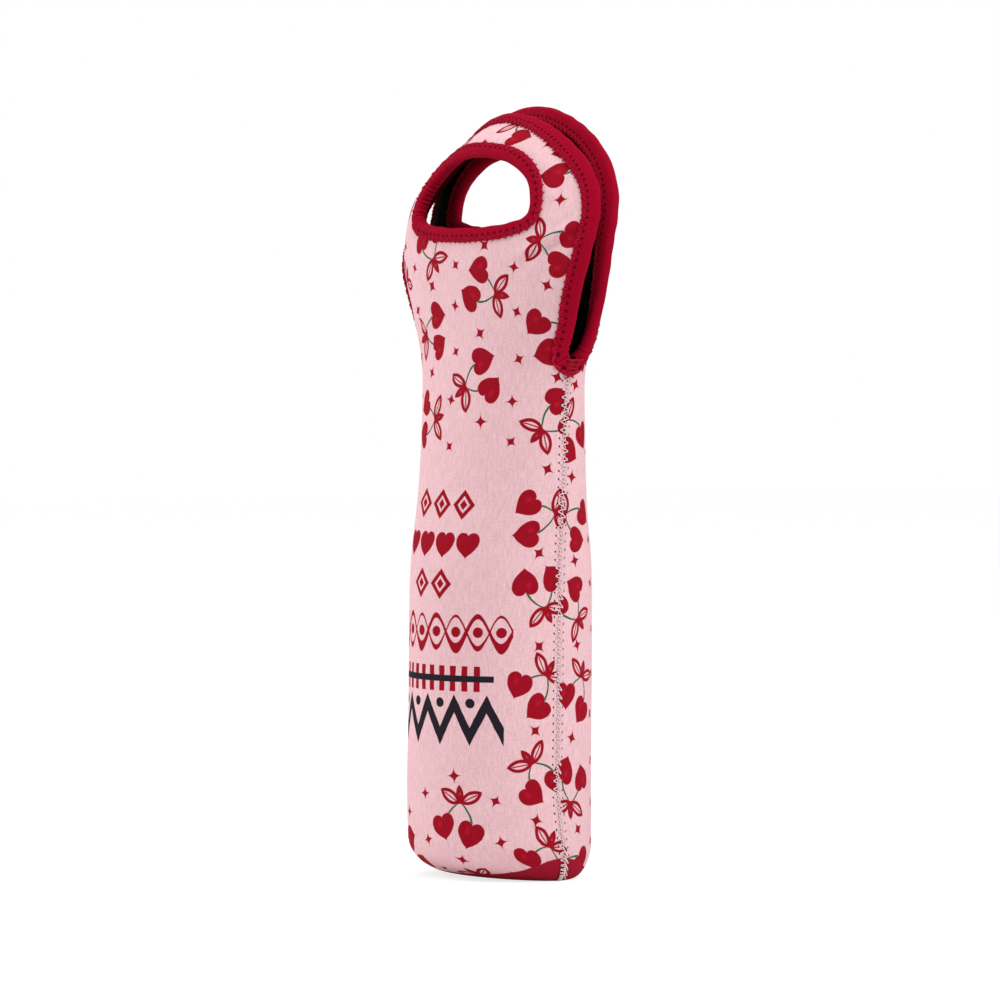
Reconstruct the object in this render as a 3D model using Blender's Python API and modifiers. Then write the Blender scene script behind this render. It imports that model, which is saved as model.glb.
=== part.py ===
"""Insulated bottle sleeve with two arched handle flaps, standing open.

One laminate sheet (printed knit, foam, lining knit) runs from the front flap
down under the base and up to the back flap. Its two long sides are joined by
zigzag thread. Ribbed tape binds the free edges and the handle holes.
Units are metres, the front faces -Y, the side seams lie at -X and +X.
"""
import math

import bpy
import numpy as np
from mathutils import Vector, geometry

# Driving dimensions
SLEEVE_HEIGHT = 0.3675
BODY_DIAMETER = 0.0876
NOTCH_DEPTH = 0.1185
FLAP_OVERHANG = 0.0292
HOLE_TOP_DEPTH = 0.0242
HOLE_HEIGHT = 0.0338
HOLE_SIDE_MARGIN = 0.0322
BASE_RIM_HEIGHT = 0.0190
FRONT_RIM_DEPTH = 0.0355
BACK_RIM_DEPTH = 0.0150
SIDE_RIM_DEPTH = 0.0075
SEAM_DRIFT = 0.0062
BASE_FOLD_LENGTH = 0.0440
JERSEY_THICKNESS = 0.0004
FOAM_THICKNESS = 0.0019
PIECE_GAP = 0.0003
NOTCH_RADIUS = 0.0030
EDGE_BINDING_WIDTH = 0.0087
HANDLE_BINDING_WIDTH = 0.0072
BINDING_TAPE_THICKNESS = 0.0008
THREAD_RADIUS = 0.00035
SEAM_STITCH_WIDTH = 0.0052
SEAM_STITCH_PITCH = 0.0080

# Derived sizes; the sheet ends where the bindings fold over its edges
STACK_THICKNESS = 2 * JERSEY_THICKNESS + FOAM_THICKNESS + 2 * PIECE_GAP
BINDING_FOLD = STACK_THICKNESS / 2 + PIECE_GAP + BINDING_TAPE_THICKNESS
EDGE_ARM = EDGE_BINDING_WIDTH - BINDING_FOLD
HANDLE_ARM = HANDLE_BINDING_WIDTH - BINDING_FOLD
BODY_RADIUS = BODY_DIAMETER / 2
SHEET_TOP = SLEEVE_HEIGHT - BINDING_FOLD
SHEET_NOTCH = SLEEVE_HEIGHT - NOTCH_DEPTH - BINDING_FOLD
FLAP_HALF_WIDTH = BODY_RADIUS + FLAP_OVERHANG - BINDING_FOLD
HOLE_HALF_WIDTH = BODY_RADIUS + FLAP_OVERHANG - HOLE_SIDE_MARGIN + BINDING_FOLD
HOLE_SILL = SLEEVE_HEIGHT - HOLE_TOP_DEPTH - HOLE_HEIGHT - BINDING_FOLD
HOLE_RISE = HOLE_HEIGHT + 2 * BINDING_FOLD
FLAP_HEIGHT = SHEET_TOP - SHEET_NOTCH
WALL_HEIGHT = SHEET_NOTCH - BASE_RIM_HEIGHT
BASE_HALF_WIDTH = BODY_RADIUS - SIDE_RIM_DEPTH

# Sections of the joined body: height share of the wall, half width and half
# depth as shares of the body radius, and the share of the seam drift
BODY_SECTION_SHARES = (
    (0.000, 1.000, 1.000, 0.45),
    (0.120, 1.000, 1.000, 0.00),
    (0.500, 1.000, 1.000, 0.00),
    (0.598, 0.998, 0.962, 0.00),
    (0.670, 1.024, 0.868, 0.00),
    (0.775, 1.050, 0.792, 0.00),
    (0.880, 1.062, 0.750, 0.00),
    (0.984, 1.110, 0.695, 0.00),
)
# Sections of the flaps: height share of the flap, half width share of the
# flap half width, then centre and edge positions of the front and of the back
# flap along Y as shares of the body radius, and the sweep share of a right angle
FLAP_SECTION_SHARES = (
    (0.095, 0.778, -0.665, -0.135, 0.580, 0.175, 0.93),
    (0.253, 0.880, -0.680, -0.168, 0.440, 0.170, 0.70),
    (0.378, 0.965, -0.712, -0.182, 0.290, 0.160, 0.58),
    (0.486, 1.000, -0.695, -0.145, 0.165, 0.170, 0.53),
    (0.610, 1.010, -0.622, -0.050, 0.095, 0.240, 0.50),
    (0.710, 1.015, -0.552, 0.110, 0.130, 0.365, 0.48),
    (0.794, 1.015, -0.510, 0.360, 0.220, 0.490, 0.46),
    (0.869, 1.015, -0.365, 0.670, 0.330, 0.590, 0.45),
    (0.930, 1.015, -0.130, 0.920, 0.410, 0.650, 0.45),
    (1.000, 1.015, 0.150, 1.180, 0.480, 0.700, 0.45),
)
FRONT_TOP_SHARE = 0.985
FRONT_ARCH_START_SHARE = 0.590
FRONT_ARCH_CURVE_SHARE = 1.14
BACK_ARCH_START_SHARE = 0.560
BACK_ARCH_CURVE_SHARE = 1.15
NOTCH_FADE_SHARE = 0.15
HOLE_CORNER_SHARE = 0.25
HOLE_SIDE_SHARE = 0.91
HOLE_TOP_SHARE = 0.96
HOLE_FLOOR_SHARE = 0.80

# Mesh fineness
PROFILE_STEPS = 480
CURVE_SAMPLES = 49
ACROSS_COUNT = 6
RIM_ROWS = 4
WALL_ROWS = 13
NOTCH_STEPS = 4
ARCH_STEPS = 22
HOLE_STEPS = 17
FOLD_STEPS = 4
FLAP_GRID_SHARE = 0.16
GRID_CLEAR_SHARE = 0.62
BASE_ROW_SHARES = (0.04, 0.2, 0.45, 0.72)
SEAM_ROW_SHARE = 0.35
SLOPE_STEP_SHARE = 0.012
FRONT = 1
BACK = -1

# Colours
JERSEY_COLOUR = (0.86, 0.62, 0.66)
FOAM_COLOUR = (0.03, 0.03, 0.03)
LINING_COLOUR = (0.012, 0.012, 0.014)
TAPE_COLOUR = (0.42, 0.005, 0.022)
THREAD_COLOUR = (0.86, 0.66, 0.68)


def spline(points, x):
    """Monotone cubic through (position, value) points."""
    xs, ys = (np.array(column, float) for column in zip(*points))
    gaps = np.diff(xs)
    rises = np.diff(ys) / gaps
    slopes = np.zeros(len(xs))
    slopes[0], slopes[-1] = rises[0], rises[-1]
    for i in range(1, len(xs) - 1):
        if rises[i - 1] * rises[i] > 0:
            slopes[i] = 2 * rises[i - 1] * rises[i] / (rises[i - 1] + rises[i])
    i = np.clip(np.searchsorted(xs, x) - 1, 0, len(gaps) - 1)
    u = np.clip((x - xs[i]) / gaps[i], 0, 1)
    near = (2 * u**3 - 3 * u**2 + 1) * ys[i] + (u**3 - 2 * u**2 + u) * gaps[i] * slopes[i]
    far = (3 * u**2 - 2 * u**3) * ys[i + 1] + (u**3 - u**2) * gaps[i] * slopes[i + 1]
    return near + far


def section_tables(side):
    """Half width, centre Y, edge Y and sweep against height for one panel."""
    width, centre, edge, sweep = [], [], [], []
    for share, half_width, half_depth, drift in BODY_SECTION_SHARES:
        z = BASE_RIM_HEIGHT + share * WALL_HEIGHT
        width.append((z, half_width * BODY_RADIUS))
        centre.append((z, -side * half_depth * BODY_RADIUS))
        edge.append((z, drift * SEAM_DRIFT))
        sweep.append((z, 1))
    for share, half_width, front_y, front_edge, back_y, back_edge, turn in FLAP_SECTION_SHARES:
        z = SHEET_NOTCH + share * FLAP_HEIGHT
        width.append((z, half_width * FLAP_HALF_WIDTH))
        centre.append((z, (front_y if side == FRONT else back_y) * BODY_RADIUS))
        edge.append((z, (front_edge if side == FRONT else back_edge) * BODY_RADIUS))
        sweep.append((z, turn))
    return width, centre, edge, sweep


class Panel:
    """Outer surface of the front or back half of the sheet.

    A point is given by its length across from the centre line and its length
    along the centre line from the fold in the middle of the base.
    """

    def __init__(self, side):
        self.side = side
        fold = BASE_FOLD_LENGTH / 2
        width, centre, edge, sweep = section_tables(side)
        part = np.linspace(0, 1, PROFILE_STEPS // 4)
        turn = part * math.pi / 2
        rim_depth = FRONT_RIM_DEPTH if side == FRONT else BACK_RIM_DEPTH
        self.base = BODY_RADIUS - rim_depth
        half_rim = BASE_HALF_WIDTH + SIDE_RIM_DEPTH * np.sin(turn)
        rim = self.base + rim_depth * np.sin(turn)
        wall = np.linspace(BASE_RIM_HEIGHT, SHEET_TOP, PROFILE_STEPS)
        half_base = fold + (BASE_HALF_WIDTH - fold) * part
        self.z = np.concatenate([0 * part, BASE_RIM_HEIGHT * (1 - np.cos(turn)), wall])
        self.half = np.concatenate([half_base, half_rim, spline(width, wall)])
        self.centre = -side * np.concatenate([self.base * part, rim, -side * spline(centre, wall)])
        side_edge = spline(edge, wall)
        rim_edge = side_edge[0] + (SEAM_DRIFT - side_edge[0]) * np.cos(turn)
        base_edge = SEAM_DRIFT * half_base / BASE_HALF_WIDTH
        self.edge = np.concatenate([base_edge, rim_edge, side_edge])
        self.straight = np.concatenate([1 - part**2, 0 * part, 0 * wall])
        self.sweep = np.concatenate([1 + 0 * part, 1 + 0 * part, spline(sweep, wall)]) * math.pi / 2
        steps = np.hypot(np.diff(self.centre), np.diff(self.z))
        self.along = np.concatenate([[0], np.cumsum(steps)])
        self.wall_start = len(part) * 2
        self.rim_top = self.along[self.wall_start]

    def along_at(self, z):
        """Length along the centre line at a height on the wall."""
        return np.interp(z, self.z[self.wall_start:], self.along[self.wall_start:])

    def along_clear(self, lift):
        """Length along at which a thread lifted off the side of the rim clears the floor."""
        clear = self.z - lift * (1 - self.z / BASE_RIM_HEIGHT)
        return np.interp(PIECE_GAP, clear[: self.wall_start], self.along[: self.wall_start])

    def curve(self, along):
        """Samples of the half section there: x, y, length and height."""
        half, centre, edge, sweep, straight, z = (
            np.interp(along, self.along, column)
            for column in (self.half, self.centre, self.edge, self.sweep, self.straight, self.z)
        )
        angle = np.linspace(0, 1, CURVE_SAMPLES) * sweep
        out = np.sin(angle) / math.sin(sweep)
        fall = (np.cos(angle) - math.cos(sweep)) / (1 - math.cos(sweep))
        x = half * out
        y = centre * fall + edge * (straight * out + (1 - straight) * (1 - fall))
        length = np.concatenate([[0], np.cumsum(np.hypot(np.diff(x), np.diff(y)))])
        return x, y, length, z

    def half_length(self, along):
        """Length from the centre line to the side of the section."""
        return self.curve(along)[2][-1]

    def across_at_x(self, x, along):
        """Flat place of the point at the given X and length along."""
        xs, ys, length, z = self.curve(along)
        return np.interp(x, xs, length), along

    def point(self, across, along):
        """Point of the outer surface."""
        xs, ys, length, z = self.curve(along)
        x = np.interp(abs(across), length, xs)
        return np.array([math.copysign(x, across), np.interp(abs(across), length, ys), float(z)])


PANELS = {FRONT: Panel(FRONT), BACK: Panel(BACK)}


def surface(across, signed_along):
    """Point and outward normal of the sheet; the back half has negative lengths."""
    side = FRONT if signed_along >= 0 else BACK
    panel = PANELS[side]
    along = abs(signed_along)
    point = panel.point(across, along)
    if along <= panel.base:
        return point, np.array([0, 0, -1.0])
    step = SLOPE_STEP_SHARE * BODY_RADIUS
    limit = panel.half_length(along)
    low, high = max(-limit, across - step), min(limit, across + step)
    over = panel.point(high, along) - panel.point(low, along)
    reach = min(step, along - panel.base, panel.along[-1] - along) + step * SLOPE_STEP_SHARE
    top = min(along + reach, panel.along[-1])
    up = panel.point(across, top) - panel.point(across, along - reach)
    normal = np.cross(over, side * up)
    return point, normal / np.linalg.norm(normal)


def resample(points, count):
    """Points at even spacing along a polyline, its two ends included."""
    points = np.array(points, float)
    steps = np.hypot(*np.diff(points, axis=0).T)
    length = np.concatenate([[0], np.cumsum(steps)])
    at = np.linspace(0, length[-1], count + 1)
    return np.stack([np.interp(at, length, points[:, i]) for i in range(2)], axis=1)


def flap_edge(side):
    """Right half of a flap's free edge in the flat, from the notch to the top."""
    panel = PANELS[side]
    top_share, start_share, curve_share = {
        FRONT: (FRONT_TOP_SHARE, FRONT_ARCH_START_SHARE, FRONT_ARCH_CURVE_SHARE),
        BACK: (1, BACK_ARCH_START_SHARE, BACK_ARCH_CURVE_SHARE),
    }[side]
    top = SHEET_NOTCH + top_share * FLAP_HEIGHT
    arch_start = SHEET_NOTCH + start_share * FLAP_HEIGHT
    fade = NOTCH_FADE_SHARE * FLAP_HEIGHT
    bottom, upper = [], []
    for turn in np.linspace(0, math.pi / 2, NOTCH_STEPS + 1):
        along = panel.along_at(SHEET_NOTCH) + NOTCH_RADIUS * (1 - math.cos(turn))
        recess = PIECE_GAP / 2 + NOTCH_RADIUS * math.sin(turn)
        bottom.append((panel.half_length(along) - recess, along))
    for z in np.linspace(SHEET_NOTCH + NOTCH_RADIUS, arch_start, PROFILE_STEPS // 4)[1:]:
        along = panel.along_at(z)
        part = min(1, (z - SHEET_NOTCH - NOTCH_RADIUS) / fade)
        recess = NOTCH_RADIUS * (1 - part * part * (3 - 2 * part))
        upper.append((panel.half_length(along) - recess, along))
    for turn in np.linspace(0, math.pi / 2, PROFILE_STEPS // 2)[1:]:
        rise = math.sin(turn) ** curve_share
        along = panel.along_at(arch_start + rise * (top - arch_start))
        x = FLAP_HALF_WIDTH * abs(math.cos(turn)) ** curve_share
        upper.append(panel.across_at_x(x, along))
    upper = resample([bottom[-1]] + upper, ARCH_STEPS)
    edge = np.concatenate([bottom, upper[1:]])
    edge[-1][0] = 0
    return edge


def hole_edge(side):
    """Right half of a handle hole in the flat, from its top to its sill."""
    panel = PANELS[side]
    sill = panel.along_at(HOLE_SILL)
    rise = panel.along_at(HOLE_SILL + HOLE_RISE) - sill
    corner = HOLE_CORNER_SHARE * rise
    line = []
    for turn in np.linspace(math.pi / 2, -math.pi / 2, PROFILE_STEPS // 2):
        x = HOLE_HALF_WIDTH * abs(math.cos(turn)) ** HOLE_SIDE_SHARE
        s = math.sin(turn)
        if s > 0:
            along = sill + corner + (rise - corner) * s**HOLE_TOP_SHARE
        else:
            along = sill + corner - corner * abs(s) ** HOLE_FLOOR_SHARE
        line.append(panel.across_at_x(x, along))
    edge = resample(line, HOLE_STEPS)
    edge[0][0] = edge[-1][0] = 0
    return edge


def inset_line(edge, across):
    """The line under the end of a binding's arm, with its ends set square."""
    travel = np.concatenate([edge[1:], edge[-1:]]) - np.concatenate([edge[:1], edge[:-1]])
    travel /= np.hypot(*travel.T)[:, None]
    inset = edge + across * np.stack([-travel[:, 1], travel[:, 0]], axis=1)
    for end in (0, -1):
        if edge[end][0] == 0:
            inset[end] = 0, edge[end][1] + across * travel[end][0]
    return inset


def sheet_rows(side, top):
    """Rows of points across the sheet: length along, and half length across."""
    panel = PANELS[side]
    base, rim_top = panel.base, panel.rim_top
    rows = [share * base for share in BASE_ROW_SHARES]
    rows += [base + (rim_top - base) * i / RIM_ROWS for i in range(RIM_ROWS)]
    rows += [rim_top + (top - rim_top) * i / WALL_ROWS for i in range(WALL_ROWS + 1)]
    return [(row, panel.half_length(row) - PIECE_GAP / 2) for row in rows]


def inside(points, loop):
    """Even-odd test of points against a closed loop."""
    result = np.zeros(len(points), bool)
    x, y = points.T
    for (x0, y0), (x1, y1) in zip(loop, np.roll(loop, -1, axis=0)):
        if y0 != y1:
            result ^= ((y0 > y) != (y1 > y)) & (x < (x1 - x0) * (y - y0) / (y1 - y0) + x0)
    return result


def half_pattern(side):
    """Lines of one half panel in the flat, all with lengths counted from the fold."""
    edge = flap_edge(side)
    edge_inset = inset_line(edge, EDGE_ARM)
    for k in range(NOTCH_STEPS):
        turn = math.pi / 2 * k / NOTCH_STEPS
        edge_inset[k] = edge[k] - EDGE_ARM * np.array([math.sin(turn), math.cos(turn)])
    corner = edge_inset[0][1]
    edge_inset[0][0] = PANELS[side].half_length(corner) - PIECE_GAP / 2
    hole = hole_edge(side)
    hole_inset = inset_line(hole, HANDLE_ARM)
    rows = sheet_rows(side, corner)
    grid = FLAP_GRID_SHARE * FLAP_HALF_WIDTH
    extra = [(half * i / ACROSS_COUNT, row) for row, half in rows for i in range(1, ACROSS_COUNT)]
    extra += [(half - SEAM_ROW_SHARE * SEAM_STITCH_WIDTH, row) for row, half in rows]
    free = []
    count = round((edge[-1][1] - corner) / grid)
    for i in range(1, count):
        row = corner + (edge[-1][1] - corner) * i / count
        free += [(grid * (j + i % 2 / 2), row) for j in range(int(1 / FLAP_GRID_SHARE) + 2)]
    free = np.array(free)
    lines = np.concatenate([edge, edge_inset, hole, hole_inset])
    apart = np.hypot(*(free[:, None] - lines[None]).transpose(2, 0, 1)).min(axis=1)
    free = free[apart > GRID_CLEAR_SHARE * HANDLE_BINDING_WIDTH]
    return edge, edge_inset, hole, hole_inset, rows, np.concatenate([extra, free])


def flat_pattern():
    """Right half of the flat sheet: points, triangles and the bound edges."""
    points, constraints, places = [], [], {}

    def add(line):
        ids = []
        for point in line:
            key = round(point[0] / PIECE_GAP * 100), round(point[1] / PIECE_GAP * 100)
            if key not in places:
                places[key] = len(points)
                points.append((float(point[0]), float(point[1])))
            ids.append(places[key])
        return ids

    fold = PANELS[FRONT].half_length(0) - PIECE_GAP / 2
    outline, bound, extra = {}, {}, [(fold * i / ACROSS_COUNT, 0) for i in range(1, ACROSS_COUNT)]
    for side in (FRONT, BACK):
        edge, edge_inset, hole, hole_inset, rows, more = half_pattern(side)
        sign = np.array([1, side])
        top_centre = [p for p in more if p[0] == 0 and p[1] > hole_inset[0][1]]
        low_centre = [p for p in more if p[0] == 0 and p[1] < hole_inset[-1][1]]
        low_centre += [(0, row) for row, half in rows]
        centre = [edge[-1], edge_inset[-1]] + sorted(top_centre, key=lambda p: -p[1])
        centre += [hole_inset[0]] + list(hole) + [hole_inset[-1]]
        centre += sorted(low_centre, key=lambda p: -p[1])
        seam = [(half, row) for row, half in rows]
        outline[side] = np.array([(fold, 0)] + seam + list(edge[:-1]) + centre) * sign
        extra += [tuple(p * sign) for p in more if p[0] != 0]
        bound[side] = {"edge": (edge * sign, edge_inset * sign), "handle": (hole * sign, hole_inset * sign)}
    loop = np.concatenate([outline[FRONT], [(0, 0)], outline[BACK][:0:-1]])
    ids = add(loop)
    constraints += zip(ids, ids[1:] + ids[:1])
    strips = {}
    for side in (FRONT, BACK):
        for word, (line, inset) in bound[side].items():
            line_ids, inset_ids = add(line), add(inset)
            constraints += zip(inset_ids, inset_ids[1:])
            constraints += zip(line_ids, inset_ids)
            constraints += zip(line_ids, inset_ids[1:])
            strips[side, word] = line_ids, inset_ids
    extra = np.array(extra)
    add(extra[inside(extra, loop)])
    flat = [Vector(p) for p in points]
    merge = PIECE_GAP / PROFILE_STEPS
    found = geometry.delaunay_2d_cdt(flat, constraints, [], 0, merge)
    if len(found[0]) != len(points):
        raise ValueError("the flat pattern crosses itself")
    triangles = np.array([tuple(face) for face in found[2]])
    flat = np.array([tuple(v) for v in found[0]])
    return flat, triangles[inside(flat[triangles].mean(axis=1), loop)], strips


def link(name, data, material, collection):
    """Object with the given mesh or curve and its own material."""
    data.materials.append(material)
    obj = bpy.data.objects.new(name, data)
    collection.objects.link(obj)
    return obj


def mirror_and_thicken(obj, thickness, offset):
    """Mirror the right half to the left and give the surface its thickness."""
    mirror = obj.modifiers.new("Mirror", "MIRROR")
    mirror.use_axis[0] = True
    mirror.merge_threshold = PIECE_GAP / PROFILE_STEPS
    solidify = obj.modifiers.new("Solidify", "SOLIDIFY")
    solidify.thickness = thickness
    solidify.offset = offset


def half_surface(flat, triangles):
    """Outer face of the right half of the sheet, with its vertex normals."""
    verts = [surface(*p)[0] for p in flat]
    for vert, place in zip(verts, flat):
        if place[0] == 0:
            vert[0] = 0
    mesh = bpy.data.meshes.new("sheet_face")
    mesh.from_pydata([tuple(map(float, v)) for v in verts], [], triangles.tolist())
    normals = np.array([tuple(v.normal) for v in mesh.vertices])
    normals[flat[:, 0] == 0, 0] = 0
    normals /= np.linalg.norm(normals, axis=1)[:, None]
    return mesh, np.array(verts), normals


def sheet_layer(name, face, depth, thickness, material, collection):
    """One layer of the laminate, from a depth below the outer face."""
    obj = link(name, face.copy(), material, collection)
    mirror_and_thicken(obj, thickness, -1 - 2 * depth / thickness)
    return obj


def binding(name, side, strip, face, square_end, material, collection):
    """Tape folded over an edge of the sheet, both arms along its faces.

    A square end stands in the plane of the seams.
    """
    verts, normals = face
    points = []
    for k, (i, j) in enumerate(zip(*strip)):
        top, end, up, end_up = verts[i], verts[j], normals[i], normals[j]
        if k == 0 and square_end:
            up, end_up = (n * (1, 0, 1) / math.hypot(n[0], n[2]) for n in (up, end_up))
        out = (top - end) - np.dot(top - end, up) * up
        out /= np.linalg.norm(out)
        under_top, under_end = top - STACK_THICKNESS * up, end - STACK_THICKNESS * end_up
        points += [end + PIECE_GAP * end_up, top + PIECE_GAP * up]
        radius = STACK_THICKNESS / 2 + PIECE_GAP
        for turn in np.linspace(0, math.pi, FOLD_STEPS + 1)[1:-1]:
            around = math.cos(turn) * up + math.sin(turn) * out
            points.append((top + under_top) / 2 + radius * around)
        points += [under_top - PIECE_GAP * up, under_end - PIECE_GAP * end_up]
    wide = FOLD_STEPS + 3
    faces = []
    for k in range(len(strip[0]) - 1):
        for i in range(wide - 1):
            a, b = k * wide + i, (k + 1) * wide + i
            if i < wide // 2:
                faces += [(a, a + 1, b)[::side], (a + 1, b + 1, b)[::side]]
            else:
                faces += [(a, a + 1, b + 1)[::side], (a, b + 1, b)[::side]]
    mesh = bpy.data.meshes.new(name)
    mesh.from_pydata([tuple(map(float, p)) for p in points], [], faces)
    for vert in mesh.vertices:
        if abs(vert.co.x) < PIECE_GAP / PROFILE_STEPS:
            vert.co.x = 0
    obj = link(name, mesh, material, collection)
    mirror_and_thicken(obj, BINDING_TAPE_THICKNESS, 1)
    return obj


def seam_thread(name, hand, top, material, collection):
    """Zigzag thread over a side seam, from the rim up to the notch binding."""
    sag = SEAM_STITCH_WIDTH**2 / (4 * BODY_DIAMETER)
    lift = 2 * PIECE_GAP + THREAD_RADIUS + sag
    start = max(panel.along_clear(lift + THREAD_RADIUS) for panel in PANELS.values())
    count = round((top - start) / (SEAM_STITCH_PITCH / 2))
    step = (top - start) / count
    path = []
    for i in range(count + 1):
        side = FRONT if i % 2 else BACK
        for shift in (-THREAD_RADIUS, THREAD_RADIUS):
            along = min(max(start + i * step + shift, start), top)
            across = PANELS[side].half_length(along) - SEAM_STITCH_WIDTH / 2
            point, up = surface(hand * across, side * along)
            path.append(point + lift * up)
    curve = bpy.data.curves.new(name, "CURVE")
    curve.dimensions = "3D"
    curve.bevel_depth = THREAD_RADIUS
    curve.bevel_resolution = 0
    curve.use_fill_caps = True
    spline_points = curve.splines.new("POLY").points
    spline_points.add(len(path) - 1)
    for target, point in zip(spline_points, path):
        target.co = (*point, 1)
    return link(name, curve, material, collection)


def make_material(name, colour, roughness):
    """Plain Principled material."""
    material = bpy.data.materials.new(name)
    material.use_nodes = True
    shader = material.node_tree.nodes["Principled BSDF"]
    shader.inputs["Base Color"].default_value = (*colour, 1)
    shader.inputs["Roughness"].default_value = roughness
    material.diffuse_color = (*colour, 1)
    return material


def clear_scene():
    """Remove every object that is already there."""
    for obj in list(bpy.data.objects):
        bpy.data.objects.remove(obj, do_unlink=True)


def main():
    """Build the sleeve."""
    clear_scene()
    collection = bpy.data.collections.new("bottle_cooler_sleeve")
    bpy.context.scene.collection.children.link(collection)
    flat, triangles, strips = flat_pattern()
    face, verts, normals = half_surface(flat, triangles)
    layers = (
        ("outer_jersey", JERSEY_THICKNESS, JERSEY_COLOUR, 0.85),
        ("foam_core", FOAM_THICKNESS, FOAM_COLOUR, 0.9),
        ("lining_jersey", JERSEY_THICKNESS, LINING_COLOUR, 0.8),
    )
    depth = 0
    for name, thickness, colour, roughness in layers:
        material = make_material(name, colour, roughness)
        sheet_layer(name, face, depth, thickness, material, collection)
        depth += thickness + PIECE_GAP
    for (side, word), strip in strips.items():
        name = ("front_" if side == FRONT else "back_") + word + "_binding"
        material = make_material(name, TAPE_COLOUR, 0.7)
        binding(name, side, strip, (verts, normals), word == "edge", material, collection)
    top = min(flat[strips[side, "edge"][1][0]][1] * side for side in (FRONT, BACK))
    for word, hand in (("right", 1), ("left", -1)):
        material = make_material(word + "_seam_thread", THREAD_COLOUR, 0.6)
        seam_thread(word + "_seam_thread", hand, top, material, collection)


main()
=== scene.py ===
"""Insulated bottle sleeve in printed stretch cloth, dressed for a studio picture.

The sleeve is one laminate sheet, folded under the base and joined up its two
sides with zigzag thread. Ribbed tape is folded over its free edges and round
the two handle holes. Every cloth layer is cut in the flat and laid on one
curved surface, and a flat place is (length across from the centre line, length
along from the fold in the base), with negative lengths along on the back.
Units are metres. The front faces -Y and the side seams lie at -X and +X.
"""

import logging
import math
from dataclasses import dataclass
from enum import Enum
from typing import Any, Callable, ClassVar, Iterator, Sequence

import bpy
import numpy as np
from mathutils import Matrix, Vector, geometry, kdtree

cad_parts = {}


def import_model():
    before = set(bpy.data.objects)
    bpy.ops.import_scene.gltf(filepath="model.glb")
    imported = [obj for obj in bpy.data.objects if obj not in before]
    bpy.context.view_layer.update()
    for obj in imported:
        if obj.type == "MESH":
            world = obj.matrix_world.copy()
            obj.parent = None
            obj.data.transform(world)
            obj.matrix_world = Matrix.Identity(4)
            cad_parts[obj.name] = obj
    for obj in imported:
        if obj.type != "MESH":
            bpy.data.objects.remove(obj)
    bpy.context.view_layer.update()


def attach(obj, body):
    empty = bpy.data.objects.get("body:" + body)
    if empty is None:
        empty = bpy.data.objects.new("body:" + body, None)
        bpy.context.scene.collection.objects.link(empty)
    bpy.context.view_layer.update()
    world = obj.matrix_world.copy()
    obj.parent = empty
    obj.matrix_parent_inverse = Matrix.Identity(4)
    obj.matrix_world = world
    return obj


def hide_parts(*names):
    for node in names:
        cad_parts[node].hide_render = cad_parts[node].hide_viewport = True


LOG = logging.getLogger("bottle_sleeve")
Array = np.ndarray


class Side(Enum):
    """The two panels of the sheet, with the sign of their lengths along."""

    FRONT = 1
    BACK = -1


class Face(Enum):
    """The two faces of the sheet that a folded tape covers."""

    OUTSIDE = 1
    INSIDE = -1


# The surface


@dataclass(frozen=True)
class SleeveSizes:
    """Sizes that the sleeve was built to, in metres."""

    height: float = 0.3675
    body_diameter: float = 0.0876
    notch_depth: float = 0.1185
    flap_overhang: float = 0.0292
    hole_top_depth: float = 0.0242
    hole_height: float = 0.0338
    hole_side_margin: float = 0.0322
    rim_height: float = 0.0190
    front_rim_depth: float = 0.0355
    back_rim_depth: float = 0.0150
    side_rim_depth: float = 0.0075
    seam_drift: float = 0.0080
    base_fold: float = 0.0440
    jersey: float = 0.0004
    foam: float = 0.0019
    gap: float = 0.0003
    notch_radius: float = 0.0030
    edge_width: float = 0.0087
    handle_width: float = 0.0072
    tape: float = 0.0008

    @property
    def stack(self) -> float:
        """Thickness of the three layers together."""
        return 2 * self.jersey + self.foam + 2 * self.gap

    @property
    def fold(self) -> float:
        """How far the folded tape stands beyond the sheet's edge."""
        return self.stack / 2 + self.gap + self.tape

    @property
    def edge_arm(self) -> float:
        """How far an edge tape reaches over the sheet from its edge."""
        return self.edge_width - self.fold

    @property
    def handle_arm(self) -> float:
        """How far a handle tape reaches over the sheet from its edge."""
        return self.handle_width - self.fold

    @property
    def radius(self) -> float:
        """Half of the body's diameter."""
        return self.body_diameter / 2

    @property
    def top(self) -> float:
        """Height of the sheet's upper edge."""
        return self.height - self.fold

    @property
    def notch(self) -> float:
        """Height of the sheet's edge at the bottom of the side notch."""
        return self.height - self.notch_depth - self.fold

    @property
    def flap_half(self) -> float:
        """Half width of a flap's sheet."""
        return self.radius + self.flap_overhang - self.fold

    @property
    def flap_height(self) -> float:
        """Height of a flap's sheet above the notch."""
        return self.top - self.notch


# Height share of the wall, half width and half depth to the body radius, and
# the share of the seam drift
BODY_SHARES = (
    (0.000, 1.000, 1.000, 0.45),
    (0.120, 1.000, 1.000, 0.00),
    (0.500, 1.000, 1.000, 0.00),
    (0.598, 0.998, 0.962, 0.00),
    (0.670, 1.024, 0.868, 0.00),
    (0.775, 1.050, 0.792, 0.00),
    (0.880, 1.062, 0.750, 0.00),
    (0.984, 1.110, 0.695, 0.00),
)
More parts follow.
